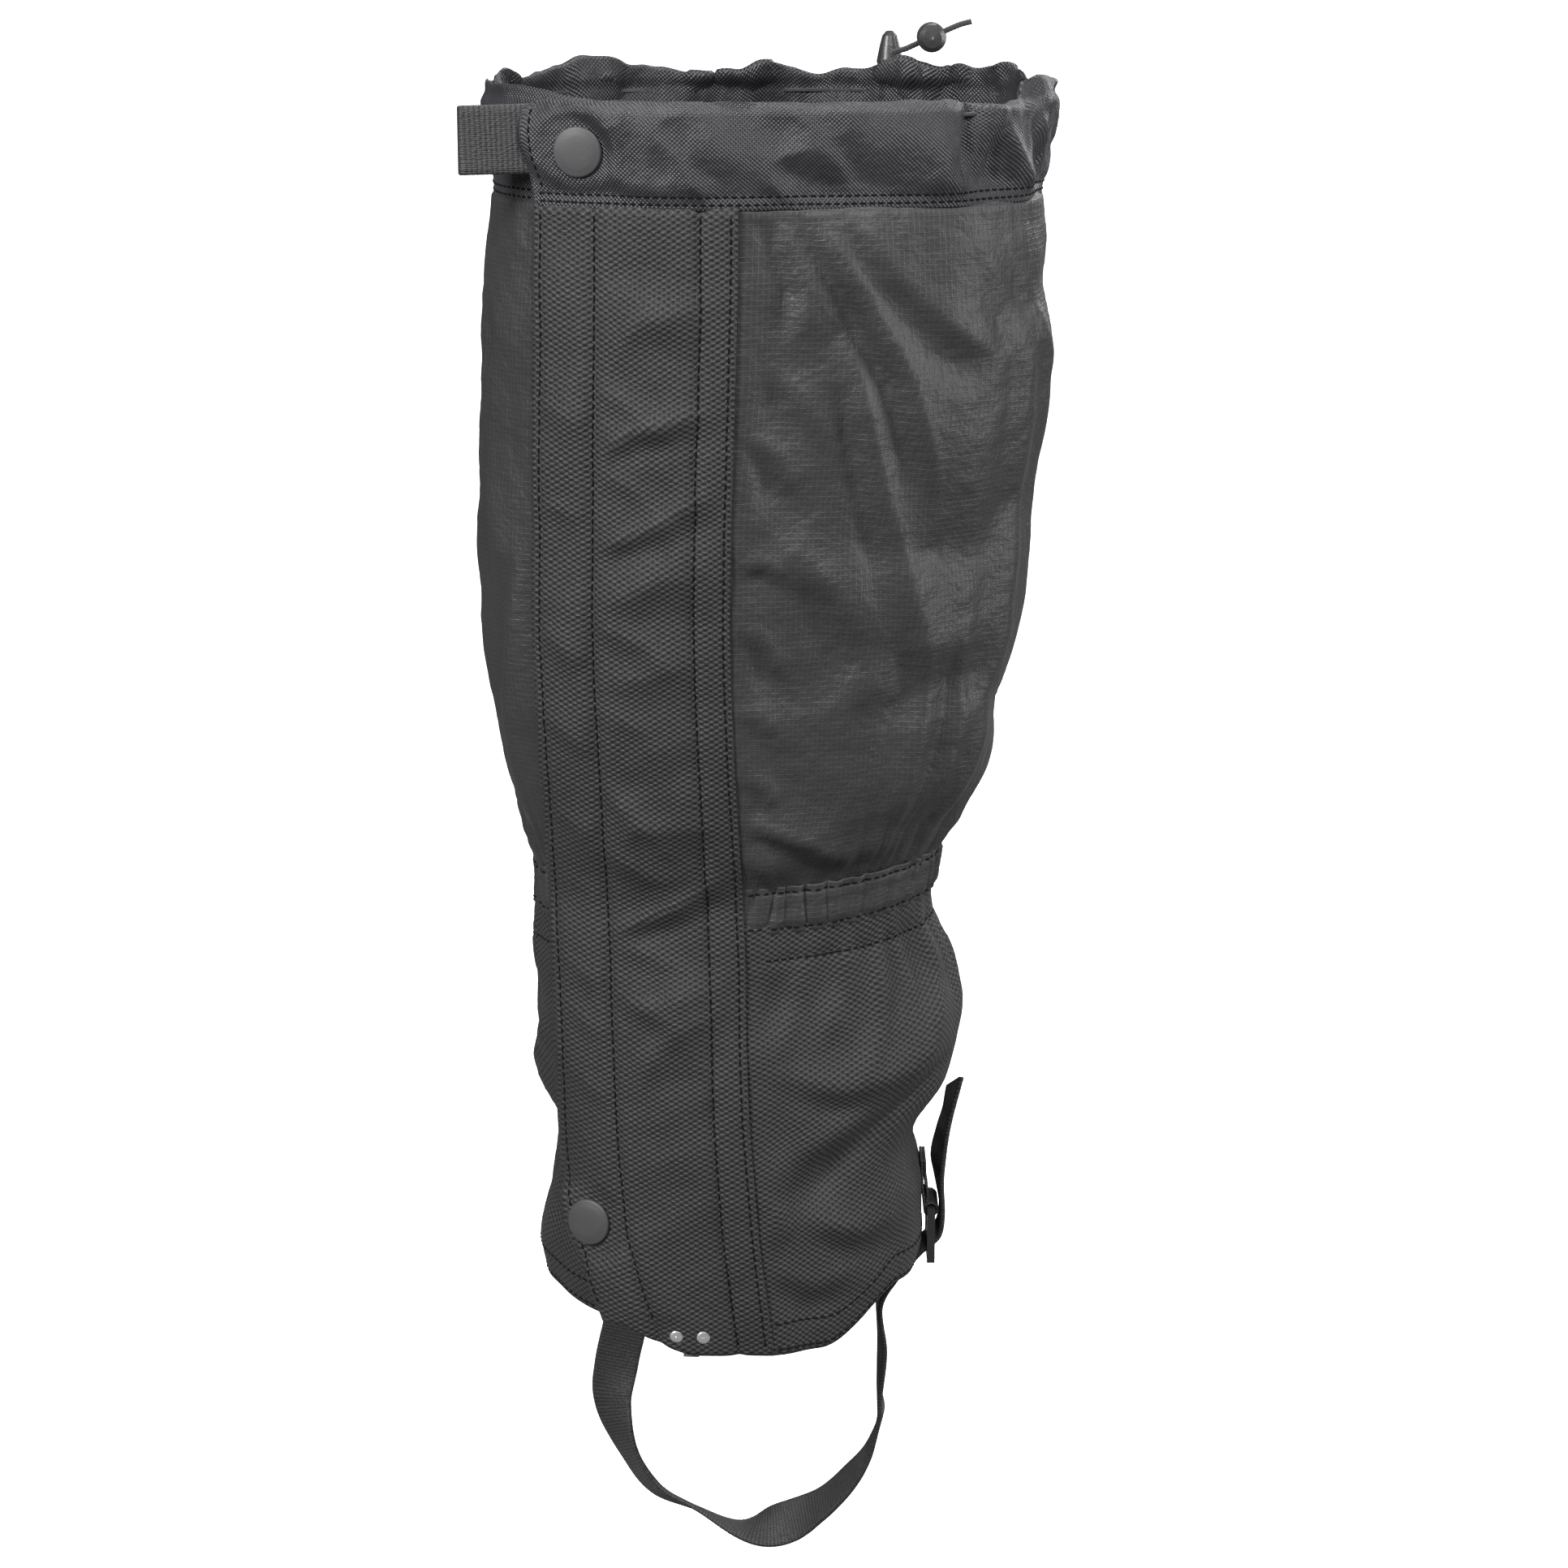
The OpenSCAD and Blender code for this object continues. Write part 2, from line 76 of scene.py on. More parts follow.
BAND_LOW, BAND_HIGH = node_box("band_front_end")[0][2], node_box("band_front_end")[1][2]
CASING_LOW, CASING_HIGH = node_box("ankle_casing")[0][2] + 1, node_box("ankle_casing")[1][2] - 1
SIDE_HEM = node_box("hem_tape")[1][2] - 10
CORNER_RISE = 0.55 * SIDE_HEM
SNAP_X = -48.5
SNAP_HEIGHTS = (BAND_HIGH - 15, 40.0)
rivet_low, rivet_high = node_box("lace_hook_rivets")
RIVETS = ((rivet_low[0] + 2, rivet_high[2] - 2), (rivet_high[0] - 2, rivet_low[2] + 2))
SECTION_POWER = 0.8
FLAP_OUT = 4.3
CLOTH, FLAP_CLOTH, CASING_CLOTH, LOWER_CLOTH = 0.9, 1.3, 0.8, 1.2

# Half widths of the tube to the left and right of x = 0, and its half depth, by height
LEFT_HALF = (
    (-10, 63), (10, 65), (24, 67), (41, 63.2), (60, 62.1), (80, 65), (100, 69), (131, 69.5), (145, 67.6),
    (154, 68.8), (166, 71), (187, 76.5), (212, 81), (235, 81.5), (267, 82.8), (320, 81.8), (362, 79),
    (380, 81), (395, 83))
RIGHT_HALF = (
    (-10, 48), (10, 50), (24, 52.5), (41, 52.5), (56, 51.6), (80, 61.5), (100, 64), (114, 61), (131, 55.5),
    (145, 57), (154, 59.5), (166, 64), (187, 73), (212, 77), (235, 81), (267, 83), (320, 89.5),
    (362, 88.6), (395, 90.5))
HALF_DEPTH = (
    (-10, 49), (0, 50), (80, 48), (131, 43), (145, 43), (166, 48), (205, 53), (320, 57.5), (395, 57.5))


def smooth_table(table):
    """A smooth curve through the table's points (cubic Hermite with limited slopes)."""
    z = np.array([p[0] for p in table], float)
    v = np.array([p[1] for p in table], float)
    step = np.diff(z)
    slope = np.diff(v) / step
    tangent = np.zeros_like(v)
    tangent[0], tangent[-1] = slope[0], slope[-1]
    same = slope[:-1] * slope[1:] > 0
    tangent[1:-1] = np.where(same, 2 * slope[:-1] * slope[1:] / np.where(same, slope[:-1] + slope[1:], 1), 0)

    def curve(at):
        at = np.clip(np.asarray(at, float), z[0], z[-1])
        i = np.clip(np.searchsorted(z, at) - 1, 0, len(step) - 1)
        k = (at - z[i]) / step[i]
        return ((1 + 2 * k) * (1 - k) ** 2 * v[i] + k * (1 - k) ** 2 * step[i] * tangent[i]
                + k * k * (3 - 2 * k) * v[i + 1] + k * k * (k - 1) * step[i] * tangent[i + 1])

    return curve


left_half, right_half, half_depth = (smooth_table(t) for t in (LEFT_HALF, RIGHT_HALF, HALF_DEPTH))
flap_left = smooth_table(((0, -44), (40, -55), (80, -58), (150, -60), (235, -63), (362, -61), (395, -61)))
seam_x = smooth_table(((0, 6), (40, 1.5), (80, -1), (150, -3), (235, -6), (362, -3), (395, -3)))


def signed_pow(v, p):
    return np.sign(v) * np.abs(v) ** p


def skin(t, z, out=0.0):
    """Points of the tube: t in degrees is 0 at +X, 90 at the front, 180 at -X and -90 at the back."""
    t, z = np.broadcast_arrays(np.radians(np.asarray(t, float)), np.asarray(z, float))
    half = (left_half(z) + right_half(z)) / 2
    centre = (right_half(z) - left_half(z)) / 2
    x = centre + (half + out) * signed_pow(np.cos(t), SECTION_POWER)
    y = -(half_depth(z) + out) * signed_pow(np.sin(t), SECTION_POWER)
    return np.stack([x, y, z], -1)


def front_t(x, z):
    """Angle on the front face where the tube has this x."""
    half = (left_half(z) + right_half(z)) / 2
    centre = (right_half(z) - left_half(z)) / 2
    q = np.clip((x - centre) / half, -1, 1)
    return np.degrees(np.arccos(signed_pow(q, 1 / SECTION_POWER)))


def ease(k):
    k = np.clip(k, 0, 1)
    return k * k * (3 - 2 * k)


def hem_height(t):
    """Lower edge of the tube: lowest at the front, cut up round the sides and the back."""
    t = np.asarray(t, float)
    right = SIDE_HEM * (1 - ease((t - 30) / 35))
    left = CORNER_RISE * (1 - ease((-243 - t) / 17)) + (SIDE_HEM - CORNER_RISE) * (1 - ease((-160 - t) / 83))
    return np.where(t > 30, right, np.where(t < -160, left, SIDE_HEM))


# ---- Noise ----
def hashed(ix, iy, seed):
    v = np.sin(ix * 127.1 + iy * 311.7 + seed * 74.7) * 43758.5453
    return v - np.floor(v)


def noise(x, y, seed=0):
    """Smooth value noise between -1 and 1."""
    ix, iy = np.floor(x), np.floor(y)
    fx, fy = x - ix, y - iy
    fx, fy = fx ** 3 * (fx * (fx * 6 - 15) + 10), fy ** 3 * (fy * (fy * 6 - 15) + 10)
    a, b = hashed(ix, iy, seed), hashed(ix + 1, iy, seed)
    c, d = hashed(ix, iy + 1, seed), hashed(ix + 1, iy + 1, seed)
    return 2 * (a + (b - a) * fx + (c - a) * fy + (a - b - c + d) * fx * fy) - 1


def rough(x, y, seed):
    """Three layers of noise, each half the size and half the strength of the one before."""
    return sum(noise(x * 2 ** n, y * 2 ** n, seed + n) / 2 ** n for n in range(3))


def bump(d):
    """A rounded hump, 1 at d = 0 and 0 beyond about 2.5."""
    return np.exp(-d * d)


def crest(d):
    """A hump with a sharper top and longer flanks, 1 at d = 0."""
    return np.exp(-1.35 * (np.sqrt(d * d + 0.05) - 0.2236))


# ---- Mesh makers ----
def make_object(name, points, faces, uv=None):
    mesh = bpy.data.meshes.new(name)
    mesh.from_pydata((np.asarray(points, float) * MM).tolist(), [], faces)
    mesh.update()
    if uv is not None:
        layer = mesh.uv_layers.new(name="UVMap")
        corner = np.zeros(len(mesh.loops), np.int32)
        mesh.loops.foreach_get("vertex_index", corner)
        layer.data.foreach_set("uv", np.asarray(uv, np.float32)[corner].ravel())
    obj = bpy.data.objects.new(name, mesh)
    bpy.context.scene.collection.objects.link(obj)
    fix = bmesh.new()
    fix.from_mesh(mesh)
    bmesh.ops.recalc_face_normals(fix, faces=fix.faces)
    fix.to_mesh(mesh)
    fix.free()
    for p in mesh.polygons:
        p.use_smooth = True
    return obj


def flat_faces(obj, first):
    """Faces from this index on are flat, so that the rounded ones beside them shade on their own."""
    for p in list(obj.data.polygons)[first:]:
        p.use_smooth = False


def unit(v):
    return v / np.maximum(np.linalg.norm(v, axis=-1, keepdims=True), 1e-9)


def run_along(p):
    """Distance from the first point of a line to each of its points."""
    return np.concatenate([[0], np.cumsum(np.linalg.norm(np.diff(p, axis=0), axis=1))])


def tube_faces(rings, sides, base=0):
    """Faces of a closed tube made of rings of points, with both ends last."""
    faces = [(base + i * sides + s, base + i * sides + (s + 1) % sides,
              base + (i + 1) * sides + (s + 1) % sides, base + (i + 1) * sides + s)
             for i in range(rings - 1) for s in range(sides)]
    last = base + (rings - 1) * sides
    return faces + [tuple(range(base + sides - 1, base - 1, -1)), tuple(range(last, last + sides))]


def grid_normals(p):
    return unit(np.cross(np.gradient(p, axis=1), np.gradient(p, axis=0)))


def sheet(name, p, thickness, uv):
    """A closed sheet from one grid of points, rows by columns, with rounded edges.
    Its other face lies against the grid's normals: outwards for the panels, whose columns run from right to
    left at the front, and inwards for the band. uv holds millimetres along the cloth."""
    rows, cols = p.shape[:2]
    inner = p - grid_normals(p) * thickness
    mid_low = (p[0] + inner[0]) / 2 - edge_push(p, 0) * thickness / 2
    mid_high = (p[-1] + inner[-1]) / 2 + edge_push(p, -1) * thickness / 2
    loop = np.concatenate([mid_low[None], p, mid_high[None], inner[::-1]], 0)
    loop_uv = np.concatenate([uv[:1], uv, uv[-1:], uv[::-1]], 0)
    count = len(loop)
    faces = []
    for r in range(count):
        below, above = r * cols, (r + 1) % count * cols
        faces += [(below + c, below + c + 1, above + c + 1, above + c) for c in range(cols - 1)]
    for c, flip in ((0, False), (cols - 1, True)):
        side = []
        for r in range(rows - 1):
            a, b = 1 + r, 2 + r
            i, k = count - 1 - r, count - 2 - r
            side.append((a * cols + c, b * cols + c, k * cols + c, i * cols + c))
        side.append((c, cols + c, (count - 1) * cols + c))
        top = rows + 1
        side.append((top * cols + c, (top + 1) * cols + c, (top - 1) * cols + c))
        faces += [f[::-1] for f in side] if flip else side
    obj = make_object(name, loop.reshape(-1, 3), faces, loop_uv.reshape(-1, 2))
    flat_faces(obj, count * (cols - 1))
    return obj


def edge_push(p, end):
    """Unit directions out of the sheet's first or last row."""
    return unit(p[1] - p[0] if end == 0 else p[-1] - p[-2])


def tube_along(name, path, radius, sides):
    """A round cord through a list of points; radius is a number or one per point."""
    path = np.asarray(path, float)
    radius = np.broadcast_to(np.asarray(radius, float), (len(path),))
    along = unit(np.gradient(path, axis=0))
    side = unit(np.cross(along[0], [0.31, 0.2, 0.93]))
    a = np.linspace(0, 2 * math.pi, sides, endpoint=False)[:, None]
    rings = []
    for point, direction, r in zip(path, along, radius):
        side = unit(side - direction * (side @ direction))
        rings.append(point + r * (np.cos(a) * side + np.sin(a) * np.cross(direction, side)))
    uv = [(r * 2 * math.pi * s / sides, w) for w, r in zip(run_along(path), radius) for s in range(sides)]
    return make_object(name, np.concatenate(rings), tube_faces(len(path), sides), uv)


def lathe(name, profile, place, sides):
    """A turned piece from (radius, height) points, axis to axis; place maps them to the frame."""
    a = np.linspace(0, 2 * math.pi, sides, endpoint=False)
    points, faces, rings = [], [], []
    for r, h in profile:
        if r < 1e-6:
            rings.append([len(points)])
            points.append((0, 0, h))
        else:
            rings.append(list(range(len(points), len(points) + sides)))
            points += [(r * math.cos(x), r * math.sin(x), h) for x in a]
    pairs = list(zip(rings, rings[1:]))
    if len(rings[0]) > 1 or len(rings[-1]) > 1:
        pairs.append((rings[-1], rings[0]))
    for low, high in pairs:
        for s in range(sides):
            e = (s + 1) % sides
            quad = [low[s % len(low)], low[e % len(low)], high[e % len(high)], high[s % len(high)]]
            quad = tuple(dict.fromkeys(quad))
            if len(quad) > 2:
                faces.append(quad)
    return make_object(name, [place(p) for p in points], faces)


def frame_at(origin, axis):
    """A function from local points (local Z along axis) to the frame."""
    x = unit(np.cross((0, 0, 1), axis))
    y = np.cross(axis, x)
    return lambda p: origin + p[0] * x + p[1] * y + p[2] * axis


def point_at(distance, run, line):
    return np.array([np.interp(distance, run, line[:, i]) for i in range(3)])


def stitches(name, line, normal, pitch, length, radius, lift):
    """A row of separate thread stitches along a line of points on the cloth."""
    run = run_along(line)
    count = max(1, int(run[-1] / pitch))
    rings = (-1, 0.35, -0.8), (-0.55, 1, 0.1), (0.55, 1, 0.1), (1, 0.35, -0.8)
    points, faces = [], []
    sides = 6
    for n in range(count):
        mid = (n + 0.5) * run[-1] / count
        start, centre, end = (point_at(mid + k * length / 2, run, line) for k in (-1, 0, 1))
        up, direction = unit(point_at(mid, run, normal)), unit(end - start)
        across = np.cross(up, direction)
        faces += tube_faces(len(rings), sides, len(points))
        for k, swell, sink in rings:
            middle = centre + direction * k * length / 2 + up * (lift + sink * radius)
            for a in np.arange(sides) * 2 * math.pi / sides:
                points.append(middle + radius * swell * (math.cos(a) * across * 1.25 + math.sin(a) * up))
    return make_object(name, points, faces)


# ---- Folds: displacement outwards over the tube, in mm ----
def crease(x, z, points, width, depth, skew=0.6):
    """A fold along a polyline: a ridge with a valley beside it, fading at both ends."""
    best = np.full(x.shape, 1e9)
    side = np.zeros(x.shape)
    place = np.zeros(x.shape)
    points = np.asarray(points, float)
    lengths = np.linalg.norm(np.diff(points, axis=0), axis=1)
    total, run = lengths.sum(), 0.0
    for (x0, z0), (x1, z1), length in zip(points, points[1:], lengths):
        ux, uz = (x1 - x0) / length, (z1 - z0) / length
        k = np.clip(((x - x0) * ux + (z - z0) * uz), 0, length)
        dx, dz = x - x0 - k * ux, z - z0 - k * uz
        d = np.hypot(dx, dz)
        nearer = d < best
        best = np.where(nearer, d, best)
        side = np.where(nearer, np.sign(dx * uz - dz * ux), side)
        place = np.where(nearer, (run + k) / total, place)
        run += length
    fade = 0.25 + 0.75 * ease(place / 0.25) * ease((1 - place) / 0.25)
    reach = width * (0.7 + 0.6 * place)
    signed = best * side / reach
    return depth * fade * (crest(signed) - skew * bump((signed - 1.7) / 0.9))


UPPER_CREASES = (
    (((12, 364), (29, 337), (41, 314), (50, 290), (56, 268)), 4.2, 5.0),
    (((2, 362), (12, 340), (12, 322)), 3.4, 2.6),
    (((24, 364), (36, 345), (54, 328), (72, 318)), 5.0, 2.4),
    (((24, 322), (31, 300), (38, 280), (46, 258), (52, 232)), 4.6, 4.2),
    (((3, 318), (14, 303), (22, 290)), 4.0, 2.0),
    (((-4, 298), (6, 290), (13, 278)), 3.4, 2.6),
    (((-5, 257), (4, 258), (12, 254)), 3.0, 2.4),
    (((-5, 240), (4, 233), (12, 221)), 3.2, 2.6),
    (((-4, 212), (4, 210), (10, 204)), 3.0, 2.0),
    (((-4, 192), (5, 188), (11, 180)), 3.0, 2.4),
    (((-2, 176), (10, 173), (26, 168), (40, 160)), 3.4, 3.4),
    (((-1, 166), (8, 160), (14, 152)), 3.0, 2.6),
    (((14, 262), (28, 246), (36, 226), (38, 205)), 6.0, 2.6),
    (((51, 244), (58, 214), (55, 188), (58, 163)), 5.0, 3.2),
    (((66, 350), (84, 320), (90, 270), (86, 226), (74, 178)), 6.0, 3.4),
    (((76, 352), (96, 316), (104, 262), (98, 214)), 6.0, 3.0),
    (((70, 235), (72, 205), (66, 170)), 4.0, 2.6),
    (((84, 205), (80, 186), (74, 166)), 4.0, 2.4),
)
LOWER_CREASES = (
    (((46, 136), (42, 122), (37, 104), (31, 84)), 3.2, 3.4),
    (((34, 134), (29, 118), (20, 100)), 3.2, 2.2),
    (((22, 132), (15, 114), (4, 96)), 3.6, 1.8),
    (((62, 136), (64, 118), (56, 100), (46, 84)), 4.2, 3.0),
    (((76, 136), (80, 116), (76, 92)), 4.2, 2.8),
    (((8, 92), (26, 86), (48, 90), (66, 98)), 4.6, 2.2),
    (((64, 86), (46, 74), (30, 60), (22, 50)), 5.5, -4.6),
    (((22, 44), (38, 38), (56, 40)), 4.6, 2.4),
    (((3, 56), (9, 47), (6, 36)), 3.0, 2.2),
    (((6, 30), (24, 22), (42, 28)), 4.4, 1.8),
)
# Long soft folds that run down the sides, one for each stretch of the tube's outline
SIDE_FOLDS = (
    (((352, 350), (360, 300), (352, 240), (362, 190)), 7.0, 3.2),
    (((372, 340), (366, 290), (376, 240)), 5.0, 2.8),
    (((384, 260), (374, 215), (366, 175)), 4.6, 3.2),
    (((340, 330), (334, 280), (342, 215)), 6.0, 2.6),
)


def random_creases(count, s_range, z_range, seed):
    """Folds for the sides and back, all by one rule."""
    rng = np.random.default_rng(seed)
    folds = []
    for _ in range(count):
        s, z = rng.uniform(*s_range), rng.uniform(*z_range)
        run = rng.uniform(22, 55)
        a = rng.choice([-1, 1]) * 0.9 + rng.normal(0, 0.25)
        ds, dz = run * math.sin(a), -run * math.cos(a)
        sag = rng.normal(0, 4)
        folds.append((((s, z), (s + ds / 2 + sag, z + dz / 2), (s + ds, z + dz)),
                      rng.uniform(3.6, 6.2), rng.uniform(1.4, 3.4) * rng.choice([1, 1, -1])))
    return folds


def gathers(s, z, edge, reach, pitch, depth, seed):
    """Pleats that run up from a gathered seam and die out."""
    fade = np.exp(-np.abs(z - edge) / reach)
    phase = s / pitch + 0.6 * noise(s / 17, z / 40, seed)
    wave = np.sin(2 * math.pi * phase) + 0.5 * np.sin(2 * math.pi * 1.7 * phase + 1.3)
    return depth * fade * wave * (0.65 + 0.35 * noise(s / 9, z / 12, seed + 5))


# ---- Sheets on the tube ----
def even_angles(t0, t1, count, z):
    """Angles from t0 to t1 at equal steps along the tube's outline at height z."""
    t = np.linspace(t0, t1, 2000)
    run = run_along(skin(t, z))
    return np.interp(np.linspace(0, run[-1], count), run, t)


def arc_from_front(t, z):
    """Distance along the outline from x = 0 at the front to angle t, positive to the right."""
    fine = np.linspace(-450, 200, 6500)
    run = run_along(skin(fine, z))
    return np.interp(front_t(0.0, z), fine, run) - np.interp(t, fine, run)


def perimeter(z):
    """Length of the tube's outline at height z."""
    return run_along(skin(np.linspace(-270, 90, 4000), z))[-1]


def flap_corner(mid):
    """Distance along the outline, the long way round, to the flap's free edge at height mid."""
    return arc_from_front(front_t(flap_left(mid), mid) - 360, mid)


def outward(p):
    """Normals of a grid that point away from the tube's axis."""
    n = grid_normals(p)
    return n * np.sign((n * p * [1, 1, 0]).sum(-1, keepdims=True))


def casing_tilt(s, z):
    """The gathered waist sits a little higher on the right side than at the front."""
    return 5 * ease((s - 5) / 60) * ease((230 - s) / 80) * bump((z - (CASING_LOW + CASING_HIGH) / 2) / 38)


def tube_grid(t0, t1, z0, z1, step, out, folds, mid=None):
    """A grid over the tube: t0, t1 are edge angles by height, z0, z1 are edge heights by angle.
    Returns points and cloth coordinates. The distance outwards is out, a number or a function of the distance
    to the right of the flap's seam, and folds(s, z) adds to it."""
    mid = mid if mid is not None else (float(np.mean(z0(-90.0))) + float(np.mean(z1(-90.0)))) / 2
    a, b = float(t0(mid)), float(t1(mid))
    span = abs(arc_from_front(a, mid) - arc_from_front(b, mid))
    cols = int(span / step) + 2
    share = (even_angles(a, b, cols, mid) - a) / (b - a)
    height = float(np.mean(z1(-90.0)) - np.mean(z0(-90.0)))
    rows = int(abs(height) / step) + 2
    k = np.linspace(0, 1, rows)[:, None]
    z_rough = float(z0(-90.0)) * (1 - k) + float(z1(-90.0)) * k
    t = t0(z_rough) * (1 - share) + t1(z_rough) * share
    z = z0(t) * (1 - k) + z1(t) * k
    s = arc_from_front(t, mid)
    from_seam = np.where(np.sin(np.radians(t)) > 0, skin(t, z)[..., 0] - seam_x(z), 1e3)
    base = skin(t, z, out(from_seam) if callable(out) else out)
    base[..., 2] += casing_tilt(s, z)
    n = outward(base)
    return base + n * (folds(s, z) * (1 - 0.8 * bump(from_seam / 5)))[..., None], np.stack([s, z], -1)


def wrap_left(x_of_z):
    return lambda z: front_t(x_of_z(z), z) - 360


def const(v):
    return lambda t: np.full(np.shape(t), float(v)) if np.shape(t) else float(v)


back_creases = random_creases(26, (150, 420), (170, 350), 11)
low_back_creases = random_creases(16, (110, 340), (45, 128), 12)
UPPER_MID, CASING_MID, LOWER_MID = (CASING_HIGH + BAND_LOW - 0.5) / 2, 145, 70
SLACK, FORM_STEP, FORM_FRAMES, MAX_MOVE = 0.04, 3.6, 20, 5.0


def all_creases(s, z):
    upper = sum(crease(s, z, pts, w, a) for pts, w, a in (*UPPER_CREASES, *SIDE_FOLDS))
    upper += sum(crease(s, z, pts, w, a) for pts, w, a in back_creases) * (1 - 0.6 * ease((s - 330) / 20))
    lower = sum(crease(s, z, pts, w, a, 0.45) for pts, w, a in (*LOWER_CREASES, *low_back_creases))
    k = ease((z - CASING_LOW) / (CASING_HIGH - CASING_LOW))
    return upper * k + lower * (1 - k)


def held_share(s, z):
    """How firmly the cloth is sewn down: at the band, the casing, the hem and the flap's seam."""
    at_band = ease((z - BAND_LOW + 8) / 8)
    at_casing = 0.9 * bump((z - (CASING_LOW + CASING_HIGH) / 2) / 8)
    at_hem = 0.6 * ease((5 - z) / 5)
    at_seam = 0.5 * bump((s - seam_x(z)) / 3.0)
    return np.clip(np.maximum.reduce([at_band, at_casing, at_hem, at_seam]), 0, 1)


def draped_form():
    """Cloth simulation of the whole tube: the creased form gets a little more cloth than it needs, is held at
    its seams and inflated, so that the slack buckles. Returns the offset outwards, by rows up the tube and
    columns round it, and the first column's share of the outline."""
    z_mid = 205.0
    around = perimeter(z_mid)
    cols, rows = int(around / FORM_STEP), int(BAND_LOW / FORM_STEP) + 1
    t = even_angles(90.0, -270.0, cols + 1, z_mid)[:-1]
    z = np.linspace(0, BAND_LOW, rows)[:, None] + 0 * t
    s = arc_from_front(t, z_mid)[None] + 0 * z
    smooth_form = skin(t[None], z)
    n = grid_normals(np.concatenate([smooth_form[:, -2:], smooth_form, smooth_form[:, :2]], 1))[:, 2:-2]
    n *= np.sign((n * smooth_form * [1, 1, 0]).sum(-1, keepdims=True))
    unevenness = 0.5 * rough(s / 22 + z / 31, z / 26 - s / 40, 71)
    start = smooth_form + n * (0.8 * all_creases(s, z) + unevenness)[..., None]
    form = make_object("wrinkle_form", start.reshape(-1, 3), tube_faces(rows, cols)[:-2])
    group = form.vertex_groups.new(name="held")
    for i, weight in enumerate(held_share(s, z).ravel()):
        if weight > 0.01:
            group.add([i], float(weight), "REPLACE")
    cloth = form.modifiers.new("cloth", "CLOTH")
    settings = cloth.settings
    settings.quality, settings.mass, settings.air_damping = 4, 0.15, 5
    settings.tension_stiffness = settings.compression_stiffness = 12
    settings.shear_stiffness, settings.bending_stiffness = 4, 0.5
    settings.shrink_min = -SLACK
    settings.use_pressure, settings.uniform_pressure_force = True, 1.2
    settings.vertex_group_mass = group.name
    settings.effector_weights.gravity = 0
    cloth.collision_settings.use_collision = False
    cloth.collision_settings.use_self_collision = False
    cloth.point_cache.frame_start, cloth.point_cache.frame_end = 1, FORM_FRAMES
    for step_number in range(1, FORM_FRAMES + 1):
        bpy.context.scene.frame_set(step_number)
    moved = form.evaluated_get(bpy.context.evaluated_depsgraph_get()).data
    flat = np.zeros(rows * cols * 3, np.float32)
    moved.vertices.foreach_get("co", flat)
    offset = ((flat.reshape(rows, cols, 3) / MM - smooth_form) * n).sum(-1)
    offset = MAX_MOVE * np.tanh(offset / MAX_MOVE)
    bpy.data.objects.remove(form)
    bpy.context.scene.frame_set(1)
    for _ in range(2):
        offset = (np.roll(offset, 1, 1) + 2 * offset + np.roll(offset, -1, 1)) / 4
        padded = np.concatenate([offset[:1], offset, offset[-1:]], 0)
        offset = (padded[:-2] + 2 * padded[1:-1] + padded[2:]) / 4
    return offset, float(s[0, 0]) / around


form_offset, form_start = draped_form()


def wrinkles(s, z, mid):
    """The simulated offset, sampled smoothly; s is measured at height mid."""
    if form_offset is None:
        return all_creases(s, z)
    rows, cols = form_offset.shape
    c = ((s / perimeter(mid) - form_start) * cols) % cols
    r = np.clip(z / BAND_LOW, 0, 1) * (rows - 1.001)
    c0, r0 = np.floor(c).astype(int), np.floor(r).astype(int)
    fc, fr = ease(c - c0), ease(r - r0)
    c0, c1, r1 = c0 % cols, (c0 + 1) % cols, np.minimum(r0 + 1, rows - 1)
    low = form_offset[r0, c0] * (1 - fc) + form_offset[r0, c1] * fc
    high = form_offset[r1, c0] * (1 - fc) + form_offset[r1, c1] * fc
    return 0.75 * (low * (1 - fr) + high * fr) * (1 - 0.4 * ease((s - 330) / 20)) + 0.6 * all_creases(s, z)


UPPER_CORNER, LOWER_CORNER = flap_corner(UPPER_MID), flap_corner(LOWER_MID)


def under_band(z):
    """1 where cloth dives under the band's lower edge."""
    return ease((z - BAND_LOW + 0.8) / 1.2)


def upper_folds(s, z):
    d = wrinkles(s, z, UPPER_MID)
    d += gathers(s, z, CASING_HIGH, 13, 7.5, 1.5 * ease((s - 20) / 30), 3)
    d += gathers(s, z, BAND_LOW, 10, 9.0, 0.6 * ease((s - 5) / 30), 4)
    d += 0.55 * rough(s / 26, z / 34, 21) + 0.12 * rough(s / 6, z / 7, 22)
    at_casing, at_band = ease((z - CASING_HIGH + 2) / 14), ease((BAND_LOW + 1 - z) / 8)
    blouse = 1.6 * ease((z - CASING_HIGH) / 12) * ease((200 - z) / 30)
    d = d * (0.3 + 0.7 * at_casing) * (0.1 + 0.9 * at_band) + blouse
    d -= 1.8 * under_band(z)
    return d * (0.05 + 0.95 * ease((UPPER_CORNER - s) / 13))


GROOVE_Z = 128.5


def lower_folds(s, z):
    d = wrinkles(s, z, LOWER_MID)
    d += gathers(s, z, CASING_LOW, 14, 9.0, 1.3 * ease((s - 22) / 25), 6)
    d += 0.4 * rough(s / 24, z / 26, 23) + 0.08 * rough(s / 6, z / 6, 24)
    groove = -0.5 * bump((z - GROOVE_Z) / 1.3)
    d = d * (0.3 + 0.7 * ease((CASING_LOW - z) / 12)) + groove
    return d * (0.05 + 0.95 * ease((LOWER_CORNER - s) / 13))


